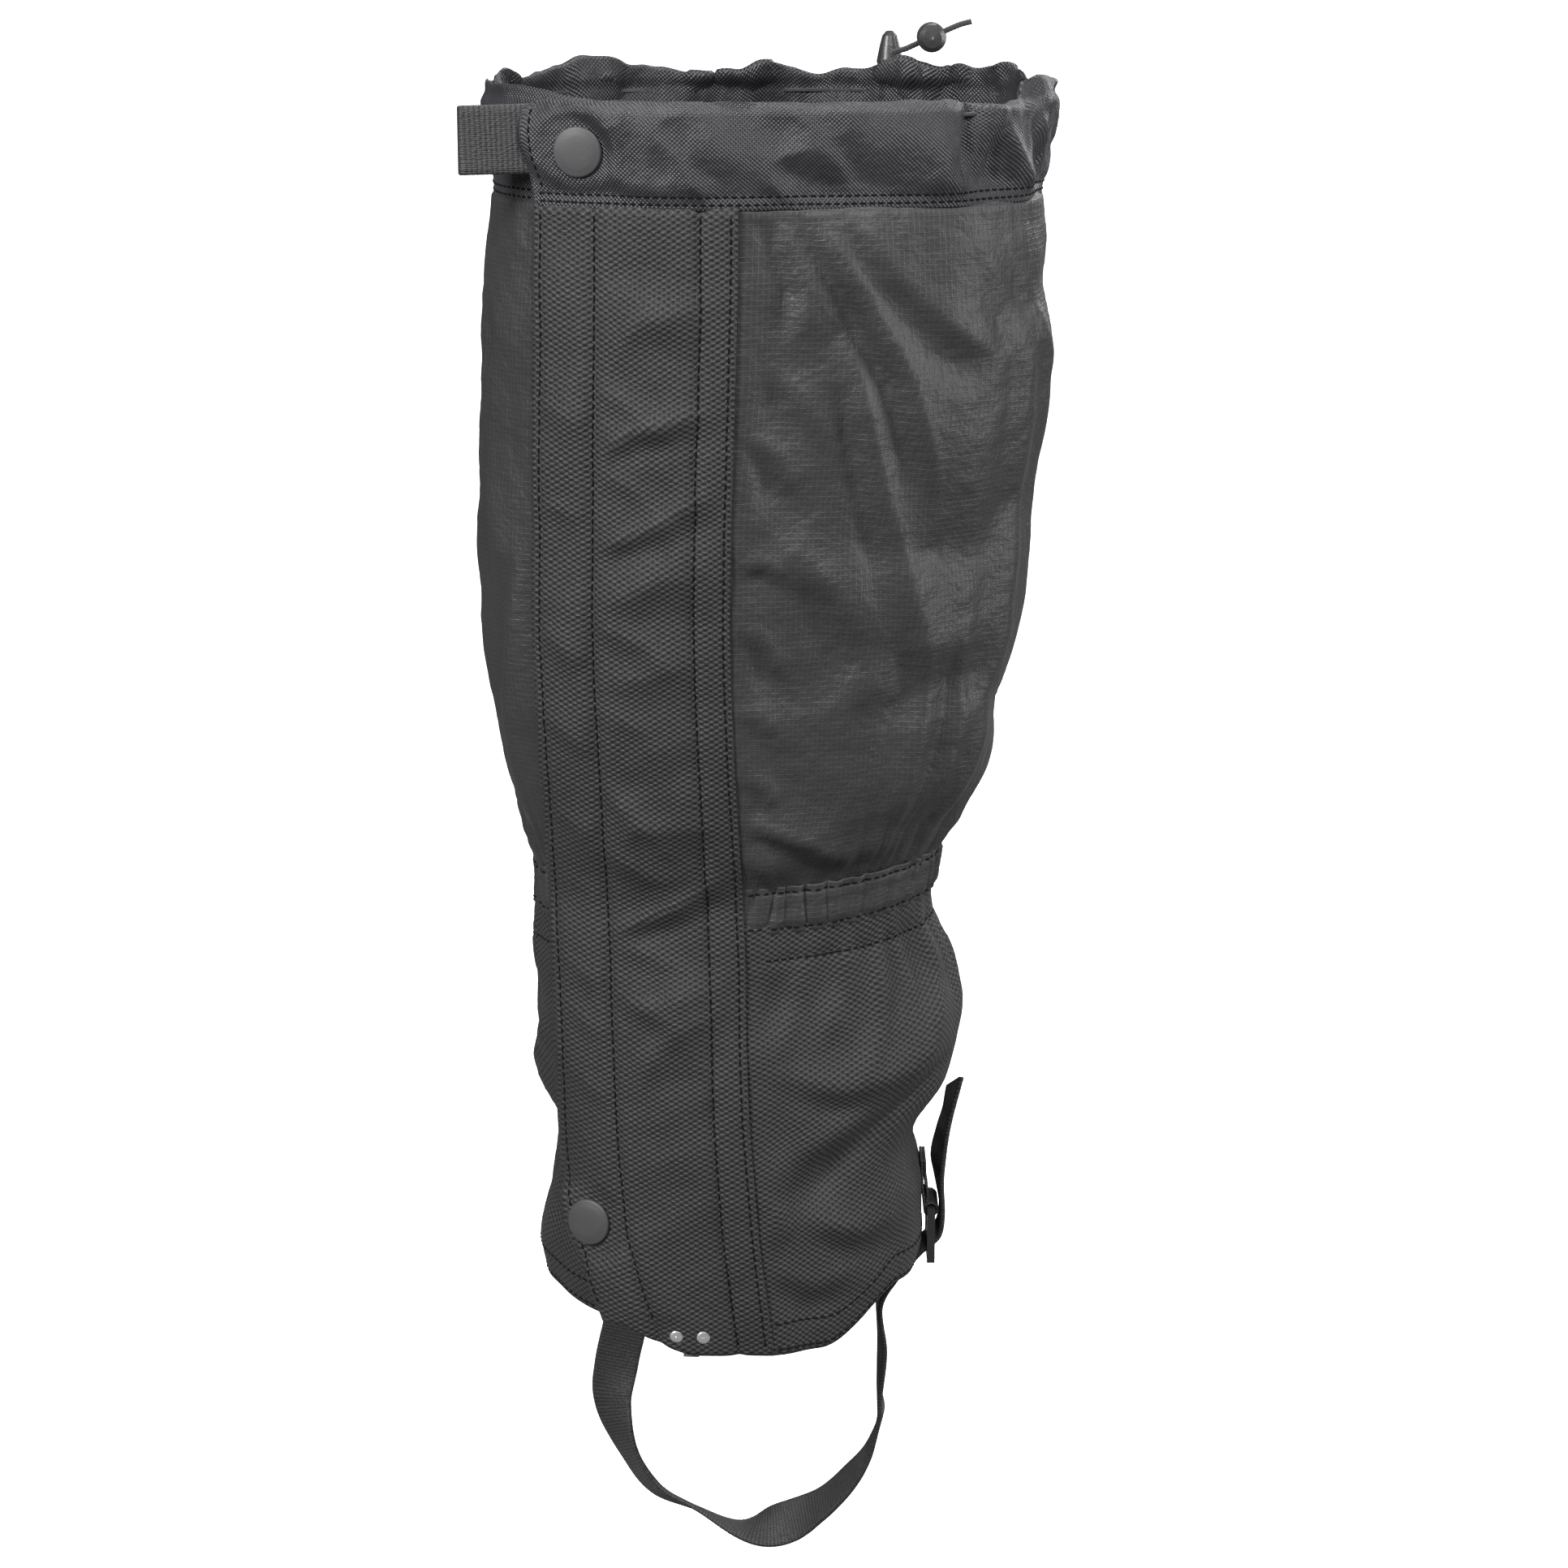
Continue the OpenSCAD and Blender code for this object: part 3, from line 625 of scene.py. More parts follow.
def flap_creases():
    """Slanting folds between the flap's stitch lines, most of them rising to the seam."""
    rng = np.random.default_rng(9)
    folds = []

    def add(points, width, low, high):
        folds.append((points, rng.uniform(*width), rng.uniform(low, high) * strength))

    z = 66.0
    while z < BAND_LOW - 22:
        left, right = float(flap_left(z)) + LEFT_LINE, float(seam_x(z)) - RIGHT_LINE
        strength = 0.45 + 0.55 * float(ease((z - 60) / 70))
        middle = left + (right - left) * rng.uniform(0.3, 0.7)
        rise, bend, depth = rng.uniform(8, 24), rng.uniform(-5, 5), rng.uniform(0.7, 2.1)
        foot = left + rng.uniform(-1, 8)
        folds.append((((foot, z - rise / 2), (middle, z + bend), (right + 5, z + rise / 2)),
                      rng.uniform(3.6, 7.0), depth * strength))
        if rng.uniform() < 0.6:
            drop = rng.uniform(6, 20)
            end = right - rng.uniform(0, 10)
            add(((left + 1, z + 8 + drop / 2), (middle, z + 8), (end, z + 8 - drop)), (3.2, 5.5), 0.6, 1.6)
        if rng.uniform() < 0.75:
            drop = rng.uniform(4, 14)
            add(((left - 15, z + drop), (left - 1, z)), (3.0, 5.0), 0.7, 1.4)
        z += rng.uniform(15, 33)
    return folds


# Stitch lines on the flap, from its free edge and from its seam
EDGE_LINE, LEFT_LINE, RIGHT_LINE = 2.2, 17.5, 10.5
FLAP_CREASES = flap_creases()


def snap_seat(z_snap, lift):
    """Middle and direction of a snap's cap, lifted from the flap's face; it faces a little to the front."""
    t = float(front_t(SNAP_X, z_snap))
    left, right, below, above = skin([t - 4, t + 4, t, t], z_snap + np.array([0, 0, -7, 7]))
    axis = unit(np.cross(right - left, above - below))
    axis *= -math.copysign(1, axis[1])
    return skin(t, z_snap) + axis * (FLAP_OUT + lift), unit(0.7 * axis - [0, 0.3, 0])


SNAP_SEATS = [snap_seat(z_snap, lift) for z_snap, lift in zip(SNAP_HEIGHTS, (1.1, 1.6))]


def press_flat(p, across, up, seat, cloth=0.0):
    """The cloth under a cap lies in the cap's plane, and leaves it smoothly round the cap."""
    middle, axis = seat
    w = ease((14.5 - np.hypot(across, up)) / 6)[..., None]
    depth = ((p - middle) @ axis)[..., None] + cloth + 0.2
    return p - w * depth * axis


def flap_folds(x, z):
    """Shallow dimples between the flap's stitch lines; both lines and the edges lie flat."""
    from_left = x - flap_left(z)
    from_seam = seam_x(z) - x
    d = 0.9 * noise(x / 30 + z / 55, z / 26 - x / 60, 31) + 0.5 * noise(x / 16 - z / 40, z / 17, 32)
    d += 0.2 * rough(x / 9, z / 9, 33) + sum(crease(x, z, pts, w, a, 0.35) for pts, w, a in FLAP_CREASES)
    d *= 0.35 + 0.65 * ease(from_left / 12) * ease(from_seam / 9)
    d *= 1 - 0.6 * bump((from_left - LEFT_LINE) / 3.5)
    for x_rivet, z_rivet in RIVETS:
        near = bump(np.hypot(x - x_rivet, z - z_rivet) / 6)
        d = d * (1 - near) - 0.75 * near
    d -= 1.1 * bump((from_left - LEFT_LINE) / 1.8) + 1.1 * bump((from_seam - RIGHT_LINE) / 1.8)
    d -= 0.5 * bump((from_left - EDGE_LINE) / 0.9)
    return d - 1.5 * under_band(z)


def tube_sheet(name, t0, t1, z0, z1, step, out, folds, thickness, mid=None):
    p, uv = tube_grid(t0, t1, z0, z1, step, out, folds, mid)
    return sheet(name, p, thickness, uv), p, uv


def seam_lift(from_seam):
    """The right panels rise to meet the flap's sewn edge."""
    return 0.2 + 3.4 * bump(from_seam / 8)


def seam_edge(under):
    """The right panels end this far under the flap's sewn edge."""
    return lambda z: front_t(seam_x(z) - under, z)


# The panels are split at the back seam, and their front edges lie under the flap
BACK, PANEL_STEP, PANEL_TUCK = const(-90.0), 1.5, 8
RIGHT_SPAN = BACK, seam_edge(1.5)
LEFT_SPAN = wrap_left(lambda z: flap_left(z) + PANEL_TUCK), BACK
SPANS = ("right", RIGHT_SPAN), ("left", LEFT_SPAN)
(upper_right, _, _), (upper_left, _, _) = (
    tube_sheet(f"ripstop_upper_{side}", *span, const(CASING_HIGH - 2), const(BAND_LOW + 1.5), PANEL_STEP,
               seam_lift, upper_folds, CLOTH) for side, span in SPANS)
(lower_right, lower_right_p, lower_right_uv), (lower_left, lower_left_p, lower_left_uv) = (
    tube_sheet(f"oxford_lower_{side}", *span, hem_height, const(CASING_LOW + 2), PANEL_STEP,
               seam_lift, lower_folds, LOWER_CLOTH, LOWER_MID) for side, span in SPANS)


# Ankle casing: a pleated strip over the elastic
def casing_folds(s, z):
    edge = np.minimum(z - CASING_LOW, CASING_HIGH - z)
    pleat = gathers(s, z, CASING_MID, 60, 6.4, 0.85 + 0.5 * ease((s - 45) / 25), 8)
    return pleat + 0.8 * ease(edge / 3) - 0.3 + gathers(s, z, CASING_HIGH, 3, 4.2, 0.35, 9)


casing, casing_p, casing_uv = tube_sheet(
    "pleated_ankle_casing", wrap_left(lambda z: flap_left(z) + 6), seam_edge(1), const(CASING_LOW - 1),
    const(CASING_HIGH + 1), 0.9, lambda from_seam: 1.0 + 2.8 * bump(from_seam / 8), casing_folds,
    CASING_CLOTH)

# Closure flap
flap_t0, flap_t1 = (lambda z: front_t(seam_x(z), z)), (lambda z: front_t(flap_left(z), z))


def flap_grid(z0, z1, step, out, folds):
    rows = int((z1 - z0) / step) + 2
    cols = int(62 / step) + 2
    z = np.linspace(z0, z1, rows)[:, None]
    share = np.linspace(0, 1, cols)[None]
    x_right, x_left = skin(flap_t0(z), z)[..., 0], skin(flap_t1(z), z)[..., 0]
    x = x_right * (1 - share) + x_left * share
    t = front_t(x, z + 0 * x)
    zz = z + CORNER_RISE * np.clip((t - 97) / 20, 0, 1) ** 1.2 * ease((40 - z) / 40)
    base = skin(t, zz, out)
    n = grid_normals(base)
    n *= np.sign(-n[..., 1:2])
    p = press_flat(base + n * folds(x, zz)[..., None], x - SNAP_X, zz - SNAP_HEIGHTS[1], SNAP_SEATS[1],
                   FLAP_CLOTH)
    return p, np.stack([x, zz + 0 * x], -1)


flap_p, flap_uv = flap_grid(0.0, BAND_LOW + 1.5, 1.3, FLAP_OUT, flap_folds)
flap = sheet("oxford_closure_flap", flap_p, FLAP_CLOTH, flap_uv)


# Top band: front piece over the flap and round to the right, and the gathered rest
BAND_MID, BAND_LINES = 380.0, (0.9, 3.2)


def band_angle(x):
    return float(front_t(x, BAND_MID))


def band_arc(x):
    return arc_from_front(band_angle(x), BAND_MID - 0.5)


SNAP_ARC = band_arc(SNAP_X)


def band_envelope(s):
    """How strongly the drawcord gathers the band: little at the front, most at the sides and back."""
    return 0.2 + 0.8 * ease((s - 38) / 36) * ease((385 - s) / 40)


def band_folds(s, z):
    up = (z - BAND_LOW) / (BAND_HIGH - BAND_LOW)
    e = band_envelope(s)
    d = e * (3.6 * noise(s / 15 + up * 0.8, up * 0.7, 41) + 2.2 * noise(s / 7.5 - up * 0.9, up * 1.1, 42))
    d += e * 0.6 * rough(s / 4, up * 3, 43) + 1.9 * bump((up - 0.55) / 0.33)
    broad = 2.6 * noise(s / 24 + up * 0.7, up * 1.2, 44) + 1.7 * noise(s / 13 + up * 1.4, up * 1.9, 45)
    d += broad * (1 - e)
    d += 3.0 * (0.35 - np.abs(noise(s / 21 + up * 1.1, up * 1.3 - s / 60, 46)))
    d -= 3.2 * ease((up - 0.1) / 0.3) * crest((s - 62 - 5 * up) / 2.2)
    d -= 0.35 * bump((z - BAND_LOW - BAND_LINES[0]) / 0.7) + 0.45 * bump((z - BAND_LOW - BAND_LINES[1]) / 0.9)
    roll = -2.2 * ease((up - 0.86) / 0.14)
    at_tab = ease((s - 348) / 12) * ease((425 - s) / 12)
    return d * (1 - 0.85 * at_tab) * (0.25 + 0.75 * ease(up / 0.25)) - 0.6 * at_tab + roll


BAND_REST_OUT, BAND_FLAP_OUT = 0.8, FLAP_OUT + 0.5


def band_out(s):
    """On the flap the band lies on top; to the right of the seam it settles to the panels."""
    return BAND_REST_OUT + (BAND_FLAP_OUT - BAND_REST_OUT) * ease((13 - s) / 17)


def rim_height(s):
    e = band_envelope(s)
    rear = ease((s - 80) / 30) * ease((425 - s) / 30)
    return (BAND_HIGH - 0.6 + 3.8 * rear + e * 1.2 * noise(s / 6, 0.7, 52)
            + (1.2 + 2.6 * rear) * e * noise(s / 14, 0.3, 51))


def band_piece(name, t0, t1, out, depth, end=None):
    """The band is one cloth folded over the cord at the rim: outer face, fold and inner face."""
    z_mid = (BAND_LOW + BAND_HIGH) / 2
    span = abs(arc_from_front(t0, z_mid) - arc_from_front(t1, z_mid))
    t = even_angles(t0, t1, int(span / 0.9) + 2, z_mid)[None]
    s = arc_from_front(t, z_mid)
    rise = np.linspace(0, 1, 36)[:, None]
    turn = np.linspace(0, 180, 9)[1:-1, None]
    low, high = BAND_LOW - 0.6 + 0 * s, rim_height(s)
    if end is not None:
        corner = 1 - np.sqrt(np.clip(1 - (1 - np.clip((s - end) / 4, 0, 1)) ** 2, 0, 1))
        low, high = low + 1.5 * corner, high - 4 * corner
    r = depth / 2
    z = np.concatenate([low * (1 - rise) + (high - r) * rise, high - r + r * np.sin(np.radians(turn)),
                        (high - r) * (1 - rise) + (low + 1.5) * rise], 0)
    sink = np.concatenate([0 * rise, r - r * np.cos(np.radians(turn)), 0 * rise + depth], 0)
    outer = np.concatenate([1 + 0 * rise, 0.5 + 0.5 * np.cos(np.radians(turn)), 0 * rise], 0)
    base = skin(t, z, out(s) - sink)
    away = unit(skin(t, z, 10.0) - skin(t, z, 0.0))
    fold = band_folds(s, z)
    p = base + away * (fold * (0.45 + 0.55 * outer))[..., None]
    faced = press_flat(p, s - SNAP_ARC, z - SNAP_HEIGHTS[0], SNAP_SEATS[0])
    p = p + (faced - p) * outer[..., None]
    run = run_along(p.mean(1))[:, None]
    obj = sheet(name, p, 0.8, np.stack([s + 0 * z, run + 0 * s], -1))
    return obj, p[:36], np.stack([s + 0 * z, z], -1)[:36]


BAND_END, BAND_SPLIT, BAND_TUCK, BAND_DEPTH = -61.8, 62.0, -13.0, 2.6
band_front, band_front_p, band_front_uv = band_piece(
    "band_front", band_angle(BAND_END), band_angle(BAND_SPLIT), band_out, BAND_DEPTH, band_arc(BAND_END))
band_rest, band_rest_p, band_rest_uv = band_piece(
    "band_rest", band_angle(BAND_SPLIT), band_angle(BAND_TUCK) - 360, lambda s: BAND_REST_OUT + 0 * s,
    BAND_DEPTH)

# ---- Webbing ----


def catmull(points, steps):
    """A smooth path through every control point."""
    points = np.asarray(points, float)
    ext = np.concatenate([[2 * points[0] - points[1]], points, [2 * points[-1] - points[-2]]])
    out = []
    for i in range(len(points) - 1):
        p0, p1, p2, p3 = ext[i:i + 4]
        for k in np.linspace(0, 1, steps, endpoint=False):
            out.append(0.5 * (2 * p1 + (p2 - p0) * k + (2 * p0 - 5 * p1 + 4 * p2 - p3) * k ** 2
                              + (3 * p1 - p0 - 3 * p2 + p3) * k ** 3))
    out.append(points[-1])
    return np.array(out)


def resample(path, step):
    run = run_along(path)
    at = np.linspace(0, run[-1], int(run[-1] / step) + 2)
    return np.stack([np.interp(at, run, path[:, i]) for i in range(path.shape[1])], 1), at


def ribbed_webbing(name, path, across, width, thick, pitch, depth, step, cut=0.0):
    """Grosgrain webbing along a path; across is a direction for each path point, cut slants its last end."""
    both, run = resample(np.concatenate([path, across], 1), step)
    centre, side = both[:, :3], both[:, 3:]
    along = unit(np.gradient(centre, axis=0))
    side = unit(side - along * (side * along).sum(1, keepdims=True))
    up = np.cross(along, side)
    rib = depth * np.cos(2 * math.pi * run / pitch)
    count = 12
    k = np.linspace(-1, 1, count)
    face = np.stack([k * (width / 2 - 0.25), np.full(count, thick / 2)], 1)
    loop = np.concatenate([face, [[width / 2, thick * 0.2], [width / 2, -thick * 0.2]],
                           face[::-1] * [1, -1], [[-width / 2, -thick * 0.2], [-width / 2, thick * 0.2]]])
    points, uvs = [], []
    slant = cut * ease((run - run[-1] + 14) / 14)
    for c, a, b, r, w, d in zip(centre, side, up, rib, run, along * slant[:, None]):
        for u, v in loop:
            edge = 0.2 * math.cos(2 * math.pi * w / pitch) * (1 if abs(u) > width / 2 - 0.1 else 0)
            ridge = math.copysign(r * abs(v) / (thick / 2), v)
            points.append(c + a * (u + math.copysign(edge, u)) + b * (v + ridge) + d * u)
            uvs.append((u, w))
    return make_object(name, points, tube_faces(len(centre), len(loop)), uvs)


# Stirrup: from its sewn end inside the left rear hem, under the boot, to the buckle
buckle_box = node_box("strap_buckle")
PIVOT = np.array([buckle_box[0][0] + 1.4, (buckle_box[0][1] + buckle_box[1][1]) / 2, buckle_box[1][2] - 1.3])

# Points of the webbing's middle, each with the direction across it
strap_points = [
    (-47, 37, 16, 0.77, 0.64, 0), (-45.5, 38.5, 0, 0.8, 0.55, 0), (-44, 39.5, -22, 0.98, 0.1, 0.05),
    (-47.8, 38.5, -42, 1, -0.1, 0), (-49.3, 36, -56, 0.85, -0.5, 0.15), (-44, 31.5, -72, 0.45, -0.85, 0.3),
    (-34.7, 27, -84, 0.3, -0.86, 0.44), (-20.4, 22, -89.4, 0.12, -0.93, 0.38),
    (-5.2, 16, -93.9, 0.08, -0.95, 0.1), (9.4, 12, -90.6, 0.3, -0.75, -0.6),
    (22.6, 9, -82, 0.15, -0.95, -0.25), (32.9, 7, -70.4, 0.1, -0.98, -0.1),
    (38.8, 6, -60.7, 0.05, -0.97, 0.2), (42.3, 5, -48.3, -0.1, -0.97, 0.24), (42.1, 4, -37.9, 0, -1, 0.15),
    (42.9, 3, -20.7, 0.1, -1, 0), (42, 3, -5, 0, -1, 0), (47, 3, 5, 0, -1, 0),
    (*(PIVOT + [-5, 0, -17]), 0, -1, 0), (*(PIVOT + [-3.2, 0, -15]), 0, -1, 0),
]
strap_path = catmull(strap_points, 10)
STIRRUP_WIDTH, STIRRUP_RIB = 15.0, dict(pitch=1.15, depth=0.16, step=0.28)
strap = ribbed_webbing("stirrup_webbing", strap_path[:, :3], strap_path[:, 3:], STIRRUP_WIDTH, 1.5,
                       **STIRRUP_RIB)

tail_points = [
    (*(PIVOT + [-3.2, 0, -15]), 0, -1, 0), (*(PIVOT + [-0.4, 0, -12.6]), 0, -1, 0),
    (*(PIVOT + [2.9, 0, -9]), 0, -1, 0), (*(PIVOT + [3.9, 0, -2]), 0, -1, 0),
    (*(PIVOT + [2.8, 0, 8]), 0.1, -1, 0), (*(PIVOT + [2.4, 0, 15]), 0.2, -0.98, 0),
    (*(PIVOT + [3.8, 0, 24]), 0.14, -0.99, 0), (*(PIVOT + [5.4, 0.2, 31]), 0.08, -1, 0),
    (*(PIVOT + [7.8, 0.6, 42]), 0.14, -0.99, 0),
]
tail_path = catmull(tail_points, 8)
strap_end = ribbed_webbing("strap_tail_webbing", tail_path[:, :3], tail_path[:, 3:], STIRRUP_WIDTH, 1.4,
                           cut=0.55, **STIRRUP_RIB)

# Pull tab: webbing folded into a loop, sewn under the band's front end
pull_box = node_box("pull_tab")
PULL = (pull_box[0] + pull_box[1]) / 2
TAB_START, TAB_RUN = pull_box[1][0] + 4, pull_box[1][0] - pull_box[0][0] + 3.2


def tab_side(k, gap):
    """A point on one of the loop's two layers, k from its root to its fold."""
    return TAB_START - TAB_RUN * k, PULL[1] + gap + 1.2 * k ** 2, PULL[2] - 0.8 * k


tab_points = [tab_side(k, -2.2) for k in np.linspace(0, 1, 14)]
tab_points += [(pull_box[0][0] + 0.8 - 0.9 * math.sin(a), PULL[1] + 0.05 - 1.15 * math.cos(a), PULL[2] - 0.8)
               for a in np.linspace(0.15, 0.85, 5) * math.pi]
tab_points += [tab_side(k, 0.3) for k in np.linspace(1, 0, 14)]
tab_path = np.array(tab_points)


def same_way(direction, path):
    return np.tile(np.array(direction, float), (len(path), 1))


pull_tab = ribbed_webbing("pull_tab_webbing", tab_path, same_way((0, 0, 1), tab_path), 20.0, 1.1, pitch=1.55,
                          depth=0.17, step=0.3)

# Buckle tab: webbing round the buckle's top bar, sewn to the lower right panel
loop_points = [PIVOT + [-3.2, 0, 17], PIVOT + [-2.9, 0, 8], PIVOT + [-2.3, 0, 3]]
for a in np.radians(np.linspace(200, 520, 13)):
    loop_points.append(PIVOT + [2.1 * math.cos(a), 0, 2.1 * math.sin(a)])
loop_points += [PIVOT + [-1.2, 0, 5], PIVOT + [-1.9, 0, 10], PIVOT + [-2.2, 0, 17]]
loop_path = catmull(loop_points, 5)
buckle_tab = ribbed_webbing("buckle_tab_webbing", loop_path, same_way((0, 1, 0), loop_path), 14.0, 0.9,
                            pitch=1.15, depth=0.06, step=0.4)

# ---- Layers under the flap, and tapes ----


def front_sheet(name, x_right, x_left, z0, z1, out, thickness, folds, step=1.5):
    """A sheet on the front face between two x functions of height."""
    rows = int((z1 - z0) / step) + 2
    z = np.linspace(z0, z1, rows)[:, None]
    cols = int(abs(float(np.mean(x_right(z) - x_left(z)))) / step) + 2
    share = np.linspace(0, 1, cols)[None]
    x = x_right(z) * (1 - share) + x_left(z) * share
    p = skin(front_t(x, z + 0 * x), z, out)
    n = grid_normals(p)
    n *= np.sign(-n[..., 1:2])
    return sheet(name, p + n * folds(x, z)[..., None], thickness, np.stack([x, z + 0 * x], -1))


def pile(x, z, seed, height):
    return height * (noise(x / 0.9, z / 0.9, seed) + noise(x / 0.45, z / 0.45, seed + 1))


STRIP_EDGES = (lambda z: -17 + 0 * z), (lambda z: -42 + 0 * z)
STRIP_LOW, STRIP_HIGH, TAPE_HEIGHT = 30, BAND_LOW - 3, 10.0
underlap = front_sheet("underlap", lambda z: -10 + 0 * z, lambda z: flap_left(z) + 7, 24, BAND_LOW + 1, 0.0,
                       1.0, lambda x, z: 0.35 * rough(x / 20, z / 24, 61))
loops = front_sheet("loop_pile", *STRIP_EDGES, STRIP_LOW, STRIP_HIGH, 1.25, 0.9,
                    lambda x, z: pile(x, z, 62, 0.16), 0.9)
hooks = front_sheet("hook_pile", *STRIP_EDGES, STRIP_LOW, STRIP_HIGH, 2.5, 0.8,
                    lambda x, z: -pile(x, z, 64, 0.08), 0.9)
elastic, _, _ = tube_sheet("ankle_elastic_tape", wrap_left(lambda z: flap_left(z) + 6), seam_edge(1),
                           const(CASING_LOW + 1.5), const(CASING_HIGH - 1.5), 1.2, -0.5,
                           lambda s, z: gathers(s, z, CASING_MID, 60, 5.2, 0.3, 8), 0.9, CASING_MID)
tape, _, _ = tube_sheet("hem_tape_webbing", wrap_left(lambda z: flap_left(z) + 9), seam_edge(1),
                        lambda t: hem_height(t) + 0.6, lambda t: hem_height(t) + 0.6 + TAPE_HEIGHT, 1.4, -1.7,
                        lambda s, z: 0.8 * lower_folds(s, z), 1.0, LOWER_MID)


# ---- Snap caps: pressed discs with a rolled edge ----
def snap_cap(name, seat):
    """A shallow cap with a rolled edge, on its seat."""
    profile = [(0, 1.62), (1.6, 1.61), (3.2, 1.56), (4.6, 1.46), (5.6, 1.32), (6.3, 1.12)]
    profile += [(6.65 + 0.85 * math.sin(a), 0.35 + 0.72 * math.cos(a)) for a in np.linspace(0.2, 2.6, 9)]
    profile += [(6.4, -0.2), (0, -0.2)]
    return lathe(name, profile, frame_at(*seat), 96)


caps = [snap_cap(f"snap_cap_{n}", seat) for n, seat in enumerate(SNAP_SEATS)]

# ---- Cords ----
LOCK = sum(node_box("cord_lock_body")) / 2
bell_box = node_box("bell_cord")
BELL = np.array([*(bell_box[0] + bell_box[1])[:2] / 2, bell_box[0][2]])
eyelet_box = node_box("cord_eyelets")
EYE_A = np.array([eyelet_box[1][0] - 2.2, eyelet_box[0][1] + 2.2, BAND_HIGH - 10])
EYE_B = np.array([eyelet_box[0][0] + 2.6, eyelet_box[1][1] - 2.2, BAND_HIGH - 10])
CORD_LINE = np.array([0.9135, 0, 0.4067])


def braided(name, path, radius, step=0.25):
    """An elastic cord with a braided surface."""
    path, run = resample(np.asarray(path, float), step)
    return tube_along(name, path, radius * (1 + 0.05 * np.cos(2 * math.pi * run / 1.1)), 16)


CORD_RADIUS = 0.9
tail_cord = braided("cord_tail_braid", catmull(
    [EYE_A - [1.5, 3, 0], EYE_A + [-1, 3.4, 4], EYE_A + [-7, 2.5, 9], LOCK + [-12, 1, -6],
     LOCK - CORD_LINE * 8, LOCK, LOCK + CORD_LINE * 9, LOCK + CORD_LINE * 13.6 + [0.3, 0, -0.6]], 10),
    CORD_RADIUS)
bell_braid = braided("bell_cord_braid", catmull(
    [EYE_B - [0.6, 3, 0], EYE_B + [-0.6, 2.2, 1.5], BELL + [2.5, -0.6, -3.5], BELL + [0.3, 0, -0.5],
     BELL + [0, 0, 8.2]], 10), CORD_RADIUS)
draw = braided("drawcord_braid", skin(
    even_angles(front_t(-30.0, 390.0) - 360, front_t(0.0, 390.0), 400, 390.0),
    np.full(400, BAND_HIGH - 5.0), -0.6), 0.6, 1.2)

# ---- Stitching ----


def trace(p, uv, across, place, low, high):
    """The line on a grid where its first cloth coordinate is place(second), or the other way round for
    across, with the grid's normals along it."""
    n = outward(p)
    if across:
        p, n, uv = (a.transpose(1, 0, 2) for a in (p, n, uv[..., ::-1]))
    line, normal = [], []
    for points, normals, cloth in zip(p, n, uv):
        run = float(cloth[:, 1].mean())
        if low <= run <= high:
            order, at = np.argsort(cloth[:, 0]), float(place(run))
            for found, source in ((line, points), (normal, normals)):
                found.append([np.interp(at, cloth[order, 0], source[order, i]) for i in range(3)])
    return np.array(line), np.array(normal)


def seam_stitches(name, p, uv, place, low, high, kind, across=False):
    return stitches(name, *trace(p, uv, across, place, low, high), **kind)


def hem_line(name, p, uv, above):
    """Stitches that follow the cut of the hem, above it by a set distance."""
    n = outward(p)
    row = min(range(len(p)), key=lambda r: abs(uv[r, len(uv[0]) // 2, 1] - uv[0, len(uv[0]) // 2, 1] - above))
    return stitches(name, p[row], n[row], **LOWER_STITCH)


# Stitches lie on the outer face of their cloth
FLAP_STITCH = dict(pitch=2.9, length=2.3, radius=0.26, lift=FLAP_CLOTH + 0.03)
BAND_STITCH = dict(pitch=2.6, length=2.15, radius=0.27, lift=0.03)
LOWER_STITCH, CASING_STITCH = (BAND_STITCH | dict(lift=cloth + 0.03) for cloth in (LOWER_CLOTH, CASING_CLOTH))
FAR = 1e9
FLAP_LINES = (
    ("flap_edge", flap_left, EDGE_LINE, 8), ("hook_left", flap_left, LEFT_LINE, 10),
    ("hook_right", seam_x, -RIGHT_LINE, 4), ("flap_seam", seam_x, -2.0, 4))
flap_lines = [
    seam_stitches(f"stitch_{name}", flap_p, flap_uv, lambda z: edge(z) + beside, low, 362, FLAP_STITCH)
    for name, edge, beside, low in FLAP_LINES]
flap_lines += [
    seam_stitches(f"stitch_band_front_{n}", band_front_p, band_front_uv, const(BAND_LOW + h), -63, FAR,
                  BAND_STITCH, True) for n, h in enumerate(BAND_LINES)]
band_end_line = seam_stitches(
    "stitch_band_end", band_front_p, band_front_uv, const(band_front_uv[0, :, 0].min() + 3.4),
    BAND_LOW + 4, BAND_HIGH - 2, BAND_STITCH)
tube_lines = [
    seam_stitches(f"stitch_band_rest_{n}", band_rest_p, band_rest_uv, const(BAND_LOW + h), -FAR, FAR,
                  BAND_STITCH, True) for n, h in enumerate(BAND_LINES)]
lower_grids = ("right", lower_right_p, lower_right_uv), ("left", lower_left_p, lower_left_uv)
tube_lines += [
    seam_stitches(f"stitch_casing_{n}", p, uv, const(GROOVE_Z), 6, FAR, LOWER_STITCH, True)
    for n, (_, p, uv) in enumerate(lower_grids)]
tube_lines += [
    seam_stitches(f"stitch_casing_edge_{n}", casing_p, casing_uv, const(z), -2, FAR, CASING_STITCH, True)
    for n, z in enumerate((CASING_LOW + 0.6, CASING_HIGH - 0.8))]
tube_lines += [
    hem_line(f"stitch_hem_{side}{end}", p, uv, above)
    for end, above in (("", 9), ("_low", 2)) for side, p, uv in lower_grids]

# ---- Materials ----


